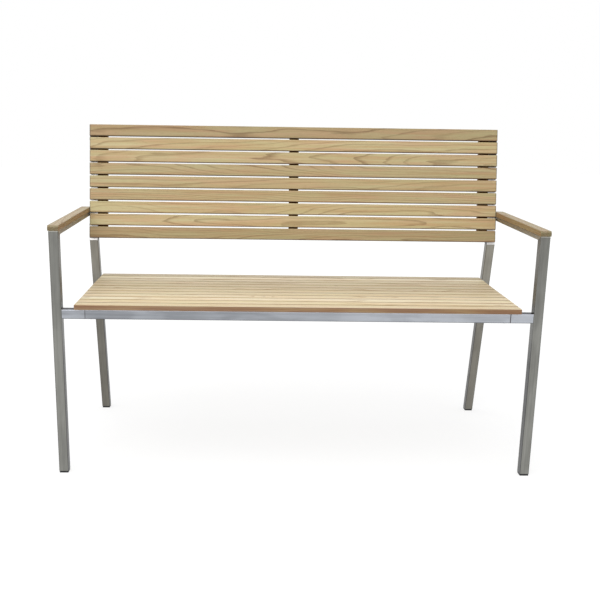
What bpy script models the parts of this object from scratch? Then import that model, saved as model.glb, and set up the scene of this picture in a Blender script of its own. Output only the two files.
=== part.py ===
"""Garden bench: two welded square tube side frames, a bolt-in seat frame and teak slats.

Units are metres and +Z is up. The bench faces -Y. The origin is on the floor, in the middle of the
bench's width and depth. Inside the script, depths are counted back from the front face of the front
legs, and the root empty moves the whole bench so that the origin comes to the middle.
"""

import math

import bmesh
import bpy
from mathutils import Matrix, Vector

# Overall sizes
BENCH_WIDTH = 1.280  # over the outer faces of the two front legs
SEAT_HEIGHT = 0.467  # top of the seat slats
ARM_HEIGHT = 0.672  # top of the armrests
KINK_HEIGHT = 0.5745  # where the rear leg meets the back post
KINK_SETBACK = 0.413  # front face of the rear leg at the kink, behind the front legs' front face
LEG_SPLAY = math.radians(11.4)  # rear leg, backwards to the floor
BACK_RECLINE = math.radians(11.4)  # back post, backwards to the top

# Square tube
TUBE_SIDE = 0.025
TUBE_WALL = 0.0015
TUBE_ROUND = 0.0018
ARM_TUBE_HEIGHT = 0.0125

# Seat frame
SEAM_INSET = 0.085  # from the outer face of a front leg to the joint in the rail
RAIL_RECESS = 0.0015  # front rail behind the legs' front face
SLEEVE_LENGTH = 0.056
SLEEVE_WALL = 0.002
SCREW_INSET = 0.014  # from the joint in the rail to the screw's axis

# Seat slats
SEAT_SLAT_COUNT = 12
SEAT_SLAT_END_GAP = 0.0072  # slat ends from the inner faces of the rear legs
SEAT_SLAT_WIDTH = 0.0338
SEAT_SLAT_THICKNESS = 0.013
SEAT_SLAT_GAP = 0.0037
SEAT_OVERHANG = 0.003  # front slat ahead of the legs' front face

# Back slats and the battens behind them
BACK_SLAT_COUNT = 9
BACK_SLAT_WIDTH = 0.0346
BACK_SLAT_THICKNESS = 0.013
BACK_SLAT_GAP = 0.0034
BACK_SLAT_START = 0.0064  # lowest slat above the kink, along the post
BACK_SLAT_END_INSET = 0.0016  # slat ends inside the posts' outer faces
BATTEN_WIDTH = 0.028
BATTEN_DEPTH = 0.020
BATTEN_INSET = 0.006  # batten ends inside the slats' outer edges
POST_TOP_INSET = 0.008  # post top below the top slat's upper edge
BACK_BOLT_INSET = 0.040  # bolts from the ends of the slatted panel

# Armrests
ARMREST_THICKNESS = 0.0137
ARMREST_OVERHANG = 0.0015  # teak beyond the arm tube, all round
ARM_END_PAST_POST_FACE = 0.016  # arm tube's rear end behind the post's front face

# Rounded wooden edges
SLAT_ROUND = 0.0022
ARMREST_ROUND = 0.003
BATTEN_ROUND = 0.001

# Feet
GLIDE_THICKNESS = 0.005
GLIDE_INSET = 0.0006
GLIDE_PLUG_LENGTH = 0.018
GLIDE_ROUND = 0.0015

# Fasteners
SHANK_RADIUS = 0.0029
HEAD_RADIUS = 0.0055
HEAD_HEIGHT = 0.0018
HEAD_RIM_HEIGHT = 0.0009  # straight part of the head, below its chamfer
HEAD_TOP_RADIUS = 0.0041
SOCKET_RADIUS = 0.0021
SOCKET_DEPTH = 0.0011
SCREW_REACH = 0.007  # seat screw above the underside of the rail
BACK_BOLT_BITE = 0.016  # back bolt inside the batten
HOLE_CLEARANCE = 0.0004

# Fits
GAP = 0.0003  # between pieces that touch
MITRE_GAP = 0.0003  # between mitred tube ends
EDGE_STEPS = 3
SLAT_EDGE_STEPS = 2
ROUND_STEPS = 14
CUT_MARGIN = 0.02  # cutters run this far past what they cut
MERGE_DISTANCE = 0.00005
SHARP_ANGLE = math.radians(40)

# Places worked out from the sizes above
HALF_WIDTH = BENCH_WIDTH / 2
LEG_INNER_X = HALF_WIDTH - TUBE_SIDE
POST_OUTER_X = LEG_INNER_X - GAP
POST_INNER_X = POST_OUTER_X - TUBE_SIDE
SEAM_X = HALF_WIDTH - SEAM_INSET
RAIL_TOP = SEAT_HEIGHT - SEAT_SLAT_THICKNESS - GAP
RAIL_Z = RAIL_TOP - TUBE_SIDE / 2
FRONT_RAIL_Y = RAIL_RECESS + TUBE_SIDE / 2
REAR_RAIL_Y = (
    KINK_SETBACK
    + (KINK_HEIGHT - RAIL_Z) * math.tan(LEG_SPLAY)
    + TUBE_SIDE / math.cos(LEG_SPLAY) / 2
)
ARM_TUBE_TOP = ARM_HEIGHT - ARMREST_THICKNESS - GAP
ARM_TUBE_BOTTOM = ARM_TUBE_TOP - ARM_TUBE_HEIGHT
ARM_TUBE_END_Y = (
    KINK_SETBACK
    + (ARM_TUBE_BOTTOM - KINK_HEIGHT) * math.tan(BACK_RECLINE)
    + ARM_END_PAST_POST_FACE
)
BACK_SLAT_PITCH = BACK_SLAT_WIDTH + BACK_SLAT_GAP
BACK_SLAT_END = BACK_SLAT_START + BACK_SLAT_COUNT * BACK_SLAT_PITCH - BACK_SLAT_GAP
BACK_SLAT_LENGTH = 2 * (POST_OUTER_X - BACK_SLAT_END_INSET)
SEAT_SLAT_PITCH = SEAT_SLAT_WIDTH + SEAT_SLAT_GAP
SEAT_SLAT_LENGTH = 2 * (POST_INNER_X - SEAT_SLAT_END_GAP)
BORE_SIDE = TUBE_SIDE - 2 * TUBE_WALL
LEG_BOTTOM = GLIDE_THICKNESS + GAP
REAR_FOOT_Y = KINK_SETBACK + (KINK_HEIGHT - LEG_BOTTOM) * math.tan(LEG_SPLAY)
REAR_MOST_Y = REAR_FOOT_Y + TUBE_SIDE / math.cos(LEG_SPLAY)
FRONT_MOST_Y = -max(SEAT_OVERHANG, ARMREST_OVERHANG)
CENTRE_Y = (FRONT_MOST_Y + REAR_MOST_Y) / 2

SIDES = {"left": -1, "right": 1}

# Colour, roughness and metallic value of each material
FINISHES = {
    "teak": ((0.62, 0.47, 0.28), 0.6, 0.0),
    "dark_hardwood": ((0.09, 0.045, 0.02), 0.7, 0.0),
    "brushed_steel": ((0.52, 0.51, 0.49), 0.36, 1.0),
    "black_plastic": ((0.02, 0.02, 0.02), 0.5, 0.0),
    "plain_steel": ((0.6, 0.6, 0.6), 0.3, 1.0),
}


def clear_scene():
    for obj in list(bpy.data.objects):
        bpy.data.objects.remove(obj, do_unlink=True)


def new_collection(name, parent):
    collection = bpy.data.collections.new(name)
    parent.children.link(collection)
    return collection


def new_material(node_name, finish):
    colour, roughness, metallic = FINISHES[finish]
    material = bpy.data.materials.new(f"{node_name}_{finish}")
    material.use_nodes = True
    shader = material.node_tree.nodes["Principled BSDF"]
    shader.inputs["Base Color"].default_value = (*colour, 1.0)
    shader.inputs["Roughness"].default_value = roughness
    shader.inputs["Metallic"].default_value = metallic
    return material


def box_mesh(name, size, rounding=0.0, steps=1, along=None):
    """Box centred on its origin. along limits the rounding to the edges parallel to that axis."""
    mesh = bpy.data.meshes.new(name)
    form = bmesh.new()
    bmesh.ops.create_cube(form, size=1.0, matrix=Matrix.Diagonal((*size, 1.0)))
    if rounding > 0.0:
        edges = [
            edge
            for edge in form.edges
            if along is None or abs((edge.verts[1].co - edge.verts[0].co)[along]) > 0.5 * size[along]
        ]
        bmesh.ops.bevel(form, geom=edges, offset=rounding, segments=steps, profile=0.5, affect="EDGES")
    form.to_mesh(mesh)
    form.free()
    return mesh


def add_piece(name, mesh, parent, location, finish, rotation=(0.0, 0.0, 0.0)):
    obj = bpy.data.objects.new(name, mesh)
    parts.objects.link(obj)
    obj.parent = parent
    obj.location = location
    obj.rotation_euler = rotation
    mesh.materials.append(new_material(name, finish))
    mesh.shade_smooth()
    mesh.set_sharp_from_angle(angle=SHARP_ANGLE)
    return obj


def add_cutter(name, mesh, parent, location, rotation=(0.0, 0.0, 0.0)):
    obj = bpy.data.objects.new(name, mesh)
    cutters.objects.link(obj)
    obj.parent = parent
    obj.location = location
    obj.rotation_euler = rotation
    obj.hide_render = True
    obj.display_type = "WIRE"
    return obj


def combine(obj, other, operation):
    modifier = obj.modifiers.new(f"{operation.lower()}_{other.name}", "BOOLEAN")
    modifier.object = other
    modifier.operation = operation
    modifier.solver = "EXACT"


def cut(obj, cutter):
    combine(obj, cutter, "DIFFERENCE")


def add_empty(name, location, tilt=0.0):
    empty = bpy.data.objects.new(name, None)
    parts.objects.link(empty)
    empty.parent = root
    empty.location = location
    empty.rotation_euler = (tilt, 0.0, 0.0)
    return empty


def add_tube(name, parent, location, size, along, wall=TUBE_WALL, closed_end=False):
    """Hollow tube along one axis, centred at location. closed_end keeps a wall at its high end."""
    tube = add_piece(
        name, box_mesh(name, size, TUBE_ROUND, EDGE_STEPS, along), parent, location, "brushed_steel"
    )
    bore_size = [side - 2 * wall for side in size]
    low_end = -size[along] / 2 - CUT_MARGIN
    high_end = size[along] / 2 + (-wall if closed_end else CUT_MARGIN)
    bore_size[along] = high_end - low_end
    offset = Vector((0.0, 0.0, 0.0))
    offset[along] = (high_end + low_end) / 2
    bore = add_cutter(f"{name}_bore", box_mesh(f"{name}_bore", bore_size), tube, offset)
    cut(tube, bore)
    return tube


def cylinder_mesh(name, radius, length):
    """Cylinder centred on its origin, along Z."""
    mesh = bpy.data.meshes.new(name)
    form = bmesh.new()
    bmesh.ops.create_cone(
        form, cap_ends=True, segments=ROUND_STEPS, radius1=radius, radius2=radius, depth=length
    )
    form.to_mesh(mesh)
    form.free()
    return mesh


def add_bolt(name, parent, location, reach, rotation=(0.0, 0.0, 0.0)):
    """Turned bolt along Z: the underside of its head is at the origin and its shank points to +Z."""
    profile = [
        (0.0, reach),
        (SHANK_RADIUS, reach),
        (SHANK_RADIUS, 0.0),
        (HEAD_RADIUS, 0.0),
        (HEAD_RADIUS, -HEAD_RIM_HEIGHT),
        (HEAD_TOP_RADIUS, -HEAD_HEIGHT),
        (SOCKET_RADIUS, -HEAD_HEIGHT),
        (SOCKET_RADIUS, SOCKET_DEPTH - HEAD_HEIGHT),
        (0.0, SOCKET_DEPTH - HEAD_HEIGHT),
    ]
    mesh = bpy.data.meshes.new(name)
    points = [(radius, 0.0, height) for radius, height in profile]
    edges = [(index, index + 1) for index in range(len(points) - 1)]
    mesh.from_pydata(points, edges, [])
    bolt = add_piece(name, mesh, parent, location, "plain_steel", rotation)
    turn = bolt.modifiers.new("turn", "SCREW")
    turn.axis = "Z"
    turn.angle = math.tau
    turn.steps = ROUND_STEPS
    turn.render_steps = ROUND_STEPS
    turn.use_merge_vertices = True
    turn.merge_threshold = MERGE_DISTANCE
    turn.use_normal_calculate = True
    return bolt


def add_front_legs_and_arms():
    """Front legs and arm tubes, mitred to each other, and teak armrests notched round the back posts."""
    rise = ARM_TUBE_HEIGHT / TUBE_SIDE
    mitre_tilt = -math.atan(rise)
    normal = Vector((0.0, math.sin(-mitre_tilt), math.cos(mitre_tilt)))
    middle = Vector((0.0, TUBE_SIDE / 2, ARM_TUBE_TOP - ARM_TUBE_HEIGHT / 2))
    block = (BENCH_WIDTH + 2 * CUT_MARGIN, 4 * TUBE_SIDE, 2 * TUBE_SIDE)
    shift = normal * (block[2] / 2 - MITRE_GAP / 2)
    above = add_cutter("above_arm_mitre", box_mesh("above_arm_mitre", block), root, middle + shift)
    below = add_cutter("below_arm_mitre", box_mesh("below_arm_mitre", block), root, middle - shift)
    above.rotation_euler = (mitre_tilt, 0.0, 0.0)
    below.rotation_euler = (mitre_tilt, 0.0, 0.0)
    leg_length = ARM_TUBE_TOP - LEG_BOTTOM
    notch_size = (2 * (POST_OUTER_X + GAP), 2 * TUBE_SIDE, BACK_SLAT_END)
    notch_place = (0.0, TUBE_SIDE - GAP, BACK_SLAT_END / 2)
    post_notch = add_cutter("armrest_notch", box_mesh("armrest_notch", notch_size), back, notch_place)
    for side, sign in SIDES.items():
        x = sign * (HALF_WIDTH - TUBE_SIDE / 2)
        leg = add_tube(
            f"front_leg_{side}",
            root,
            (x, TUBE_SIDE / 2, LEG_BOTTOM + leg_length / 2),
            (TUBE_SIDE, TUBE_SIDE, leg_length),
            2,
        )
        cut(leg, above)
        arm = add_tube(
            f"arm_tube_{side}",
            root,
            (x, ARM_TUBE_END_Y / 2, (ARM_TUBE_TOP + ARM_TUBE_BOTTOM) / 2),
            (TUBE_SIDE, ARM_TUBE_END_Y, ARM_TUBE_HEIGHT),
            1,
            closed_end=True,
        )
        cut(arm, below)
        armrest_size = (
            TUBE_SIDE + 2 * ARMREST_OVERHANG,
            ARM_TUBE_END_Y + 2 * ARMREST_OVERHANG,
            ARMREST_THICKNESS,
        )
        armrest_mesh = box_mesh("armrest", armrest_size, ARMREST_ROUND, EDGE_STEPS)
        armrest_place = (x, ARM_TUBE_END_Y / 2, ARM_HEIGHT - ARMREST_THICKNESS / 2)
        armrest = add_piece(f"armrest_{side}", armrest_mesh, root, armrest_place, "teak")
        cut(armrest, post_notch)


def add_rear_legs_and_posts():
    """Splayed rear legs and reclined back posts, both cut level where they meet at the kink."""
    leg_base = add_empty("rear_legs", (0.0, KINK_SETBACK, KINK_HEIGHT), LEG_SPLAY)
    level = (BENCH_WIDTH, 8 * TUBE_SIDE, 4 * TUBE_SIDE)
    kink_y = KINK_SETBACK + TUBE_SIDE / 2
    lift = level[2] / 2 - MITRE_GAP / 2
    above = add_cutter("above_kink", box_mesh("above_kink", level), root, (0.0, kink_y, KINK_HEIGHT + lift))
    below = add_cutter("below_kink", box_mesh("below_kink", level), root, (0.0, kink_y, KINK_HEIGHT - lift))
    foot_place = (0.0, REAR_MOST_Y - TUBE_SIDE / 2, LEG_BOTTOM - level[2] / 2)
    floor_cut = add_cutter("below_rear_feet", box_mesh("below_rear_feet", level), root, foot_place)
    leg_length = (KINK_HEIGHT - LEG_BOTTOM) / math.cos(LEG_SPLAY) + 2 * CUT_MARGIN
    post_top = BACK_SLAT_END - POST_TOP_INSET
    post_length = post_top + CUT_MARGIN
    for side, sign in SIDES.items():
        x = sign * (POST_OUTER_X + POST_INNER_X) / 2
        leg = add_tube(
            f"rear_leg_{side}",
            leg_base,
            (x, TUBE_SIDE / 2, CUT_MARGIN - leg_length / 2),
            (TUBE_SIDE, TUBE_SIDE, leg_length),
            2,
        )
        cut(leg, above)
        cut(leg, floor_cut)
        post = add_tube(
            f"back_post_{side}",
            back,
            (x, TUBE_SIDE / 2, post_top - post_length / 2),
            (TUBE_SIDE, TUBE_SIDE, post_length),
            2,
            closed_end=True,
        )
        cut(post, below)


def add_seat_frame():
    """Stubs on the legs, the bolt-in frame between them, and the sleeves and screws that join the two."""
    stub_ends = {"front": LEG_INNER_X - GAP, "rear": POST_INNER_X - GAP}
    depths = {"front": FRONT_RAIL_Y, "rear": REAR_RAIL_Y}
    rail_end = SEAM_X - MITRE_GAP / 2
    sleeve_side = BORE_SIDE - 2 * GAP
    screw_hole = cylinder_mesh("screw_hole", SHANK_RADIUS + HOLE_CLEARANCE, 4 * TUBE_WALL + 2 * SLEEVE_WALL)
    for row, y in depths.items():
        rail = add_tube(f"seat_{row}_rail", root, (0.0, y, RAIL_Z), (2 * rail_end, TUBE_SIDE, TUBE_SIDE), 0)
        for side, sign in SIDES.items():
            stub_start = SEAM_X + MITRE_GAP / 2
            stub_length = stub_ends[row] - stub_start
            stub_place = (sign * (stub_start + stub_length / 2), y, RAIL_Z)
            add_tube(f"{row}_stub_{side}", root, stub_place, (stub_length, TUBE_SIDE, TUBE_SIDE), 0)
            sleeve = add_tube(
                f"{row}_sleeve_{side}",
                root,
                (sign * SEAM_X, y, RAIL_Z),
                (SLEEVE_LENGTH, sleeve_side, sleeve_side),
                0,
                wall=SLEEVE_WALL,
            )
            screw_place = Vector((sign * (SEAM_X - SCREW_INSET), y, RAIL_Z - TUBE_SIDE / 2 - GAP))
            hole = add_cutter(f"{row}_{side}_screw_hole", screw_hole, root, screw_place)
            cut(rail, hole)
            cut(sleeve, hole)
            add_bolt(f"{row}_seat_screw_{side}", root, screw_place, SCREW_REACH)
    cross_start = FRONT_RAIL_Y + TUBE_SIDE / 2 + GAP
    cross_length = REAR_RAIL_Y - TUBE_SIDE / 2 - GAP - cross_start
    cross_size = (TUBE_SIDE, cross_length, TUBE_SIDE)
    cross_y = cross_start + cross_length / 2
    for side, sign in SIDES.items():
        place = (sign * (rail_end - TUBE_SIDE / 2), cross_y, RAIL_Z)
        add_tube(f"seat_end_rail_{side}", root, place, cross_size, 1)
    add_tube("seat_centre_rail", root, (0.0, cross_y, RAIL_Z), cross_size, 1)


def add_seat_slats():
    size = (SEAT_SLAT_LENGTH, SEAT_SLAT_WIDTH, SEAT_SLAT_THICKNESS)
    for index in range(SEAT_SLAT_COUNT):
        mesh = box_mesh("seat_slat", size, SLAT_ROUND, SLAT_EDGE_STEPS)
        y = -SEAT_OVERHANG + SEAT_SLAT_WIDTH / 2 + index * SEAT_SLAT_PITCH
        place = (0.0, y, SEAT_HEIGHT - SEAT_SLAT_THICKNESS / 2)
        add_piece(f"seat_slat_{index + 1:02d}", mesh, root, place, "teak")


def add_back_panel():
    """Slats in front of the posts, and behind them three battens, two of them bolted to the posts."""
    size = (BACK_SLAT_LENGTH, BACK_SLAT_THICKNESS, BACK_SLAT_WIDTH)
    for index in range(BACK_SLAT_COUNT):
        mesh = box_mesh("back_slat", size, SLAT_ROUND, SLAT_EDGE_STEPS)
        z = BACK_SLAT_START + BACK_SLAT_WIDTH / 2 + index * BACK_SLAT_PITCH
        place = (0.0, -GAP - BACK_SLAT_THICKNESS / 2, z)
        add_piece(f"back_slat_{index + 1}", mesh, back, place, "teak")
    batten_length = BACK_SLAT_END - BACK_SLAT_START - 2 * BATTEN_INSET
    batten_size = (BATTEN_WIDTH, BATTEN_DEPTH, batten_length)
    batten_z = (BACK_SLAT_END + BACK_SLAT_START) / 2
    batten_x = POST_INNER_X - GAP - BATTEN_WIDTH / 2
    for name, x in (("left", -batten_x), ("centre", 0.0), ("right", batten_x)):
        mesh = box_mesh("back_batten", batten_size, BATTEN_ROUND, 1)
        add_piece(f"back_batten_{name}", mesh, back, (x, BATTEN_DEPTH / 2, batten_z), "dark_hardwood")


def add_back_bolts():
    """Bolts through the posts into the outer battens."""
    reach = GAP + TUBE_SIDE + GAP + BACK_BOLT_BITE
    hole_length = reach + CUT_MARGIN + GAP
    hole_mesh = cylinder_mesh("bolt_hole", SHANK_RADIUS + HOLE_CLEARANCE, hole_length)
    heights = {"lower": BACK_SLAT_START + BACK_BOLT_INSET, "upper": BACK_SLAT_END - BACK_BOLT_INSET}
    depth = min(TUBE_SIDE, BATTEN_DEPTH) / 2
    for side, sign in SIDES.items():
        inward = (0.0, -sign * math.pi / 2, 0.0)
        for level, z in heights.items():
            x = sign * (POST_OUTER_X + CUT_MARGIN - hole_length / 2)
            hole = add_cutter(f"{level}_{side}_bolt_hole", hole_mesh, back, (x, depth, z), inward)
            cut(bpy.data.objects[f"back_post_{side}"], hole)
            cut(bpy.data.objects[f"back_batten_{side}"], hole)
            place = (sign * (POST_OUTER_X + GAP), depth, z)
            add_bolt(f"{level}_back_bolt_{side}", back, place, reach, inward)


def add_glide(name, x, y, depth, tilt):
    """Foot glide: a level sole under the leg, with a plug that follows the leg's bore."""
    sole = (TUBE_SIDE - 2 * GLIDE_INSET, depth - 2 * GLIDE_INSET, GLIDE_THICKNESS)
    mesh = box_mesh("glide", sole, GLIDE_ROUND, EDGE_STEPS, 2)
    glide = add_piece(name, mesh, root, (x, y, GLIDE_THICKNESS / 2), "black_plastic")
    plug_side = BORE_SIDE - 2 * GAP
    plug_length = GLIDE_PLUG_LENGTH + GLIDE_THICKNESS / 2
    plug_mesh = box_mesh(f"{name}_plug", (plug_side, plug_side, plug_length))
    along = Vector((0.0, -math.sin(tilt), math.cos(tilt)))
    plug = add_cutter(f"{name}_plug", plug_mesh, glide, along * plug_length / 2, (tilt, 0.0, 0.0))
    combine(glide, plug, "UNION")


def add_glides():
    rear_depth = TUBE_SIDE / math.cos(LEG_SPLAY)
    plug_start_rise = LEG_BOTTOM - GLIDE_THICKNESS / 2
    rear_y = REAR_FOOT_Y + rear_depth / 2 + plug_start_rise * math.tan(LEG_SPLAY)
    for side, sign in SIDES.items():
        front_x = sign * (HALF_WIDTH - TUBE_SIDE / 2)
        rear_x = sign * (POST_OUTER_X + POST_INNER_X) / 2
        add_glide(f"front_glide_{side}", front_x, TUBE_SIDE / 2, TUBE_SIDE, 0.0)
        add_glide(f"rear_glide_{side}", rear_x, rear_y, rear_depth, LEG_SPLAY)


clear_scene()
parts = new_collection("garden_bench", bpy.context.scene.collection)
cutters = new_collection("cutters", bpy.context.scene.collection)
root = bpy.data.objects.new("bench", None)
parts.objects.link(root)
root.location = (0.0, -CENTRE_Y, 0.0)
back = add_empty("back_frame", (0.0, KINK_SETBACK, KINK_HEIGHT), -BACK_RECLINE)

add_front_legs_and_arms()
add_rear_legs_and_posts()
add_seat_frame()
add_seat_slats()
add_back_panel()
add_back_bolts()
add_glides()
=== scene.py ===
"""Visual model of the garden bench: teak slats, brushed square tube, fasteners and welds."""
import logging
import math
from dataclasses import dataclass
from enum import Enum
from functools import reduce
from typing import Any

import bmesh
import bpy
from mathutils import Matrix, Vector


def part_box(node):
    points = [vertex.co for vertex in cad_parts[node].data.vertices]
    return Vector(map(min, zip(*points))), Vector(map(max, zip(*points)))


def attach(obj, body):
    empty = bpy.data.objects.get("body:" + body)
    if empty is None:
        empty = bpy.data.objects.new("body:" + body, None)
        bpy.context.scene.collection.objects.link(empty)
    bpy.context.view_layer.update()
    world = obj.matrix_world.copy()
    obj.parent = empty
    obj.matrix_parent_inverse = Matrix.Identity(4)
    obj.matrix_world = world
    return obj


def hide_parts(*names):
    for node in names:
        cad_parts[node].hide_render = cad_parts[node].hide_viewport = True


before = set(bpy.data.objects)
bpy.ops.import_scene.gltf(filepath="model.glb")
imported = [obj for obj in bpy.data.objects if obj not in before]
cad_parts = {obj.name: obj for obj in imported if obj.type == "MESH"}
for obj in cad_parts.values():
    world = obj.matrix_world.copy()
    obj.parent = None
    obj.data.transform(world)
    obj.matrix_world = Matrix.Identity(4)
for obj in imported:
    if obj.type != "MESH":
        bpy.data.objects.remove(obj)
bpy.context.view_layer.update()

LOG = logging.getLogger("garden_bench")
BODY = "root"
SIDES = ("left", "right")
BOARD_TONE = "board_tone"
BOARD_CENTRE = "board_centre"
WHITE = (1.0, 1.0, 1.0, 1.0)
BEYOND = 10.0  # metres, farther out than any part of the bench
Socket = bpy.types.NodeSocket
Colour = tuple[float, float, float, float]
Tint = tuple[float, float, float]
Screen = tuple[int, int, int]


def from_screen(screen: Screen) -> Colour:
    """Turn a colour in screen values from 0 to 255 into linear values.

    Args:
        screen: Red, green and blue.

    Returns:
        The linear colour with full opacity.
    """
    shares = [value / 255.0 for value in screen]
    linear = [share / 12.92 if share <= 0.04045 else ((share + 0.055) / 1.055) ** 2.4 for share in shares]
    return (*linear, 1.0)


def middle(node: str) -> Vector:
    """Return the middle of a CAD node's box."""
    low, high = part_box(node)
    return (low + high) / 2


def both(*stems: str) -> list[str]:
    """Return the left and right CAD node of each pair."""
    return [f"{stem}_{side}" for stem in stems for side in SIDES]


def row_of(stem: str) -> list[str]:
    """Return the CAD nodes of a row in order."""
    return sorted(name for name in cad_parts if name.startswith(stem))


def hand_over(piece: bpy.types.Object, slot: str, *nodes: str) -> None:
    """Give a finished piece to the frame.

    Args:
        piece: The finished mesh object.
        slot: Name of the finish's material slot; not used.
        nodes: CAD nodes that the piece stands for.
    """
    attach(piece, BODY)
    if nodes:
        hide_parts(*nodes)
    LOG.info("%s: %d faces, stands for %d CAD nodes", piece.name, len(piece.data.polygons), len(nodes))


def dress_nodes(nodes: list[str], material: bpy.types.Material) -> None:
    """Put one finish on CAD nodes that stay in view.

    Args:
        nodes: Names of the CAD nodes.
        material: The finish.
    """
    for name in nodes:
        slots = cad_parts[name].material_slots
        if not slots:
            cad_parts[name].data.materials.append(material)
        for slot in slots:
            slot.material = material
    LOG.info("%s: on %d CAD nodes", material.name, len(nodes))


def add_object(name: str, data: Any) -> bpy.types.Object:
    """Put a mesh, lamp or camera into the scene.

    Args:
        name: Name of the object.
        data: What the object shows.

    Returns:
        The object at the origin.
    """
    made = bpy.data.objects.new(name, data)
    bpy.context.scene.collection.objects.link(made)
    return made


def close_mesh(bm: bmesh.types.BMesh, name: str) -> bpy.types.Mesh:
    """Turn an open mesh under work into a finished one, with its faces looking outwards.

    Args:
        bm: The mesh under work, which is freed.
        name: Name of the new mesh.

    Returns:
        The new mesh.
    """
    bmesh.ops.recalc_face_normals(bm, faces=bm.faces)
    mesh = bpy.data.meshes.new(name)
    bm.to_mesh(mesh)
    bm.free()
    return mesh


def bake(source: bpy.types.Object, name: str) -> bpy.types.Mesh:
    """Keep the mesh that an object's modifiers give, and remove the object.

    Args:
        source: The object with its modifiers.
        name: Name of the new mesh.

    Returns:
        The plain mesh.
    """
    depsgraph = bpy.context.evaluated_depsgraph_get()
    evaluated = source.evaluated_get(depsgraph)
    mesh = bpy.data.meshes.new_from_object(evaluated, preserve_all_data_layers=True, depsgraph=depsgraph)
    mesh.name = name
    bpy.data.objects.remove(source)
    return mesh


class SocketKind(Enum):
    """Kinds of socket that the node trees here take in or give out."""

    NUMBER = "NodeSocketFloat"
    COUNT = "NodeSocketInt"
    VECTOR = "NodeSocketVector"
    MATERIAL = "NodeSocketMaterial"
    OBJECT = "NodeSocketObject"
    GEOMETRY = "NodeSocketGeometry"


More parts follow.
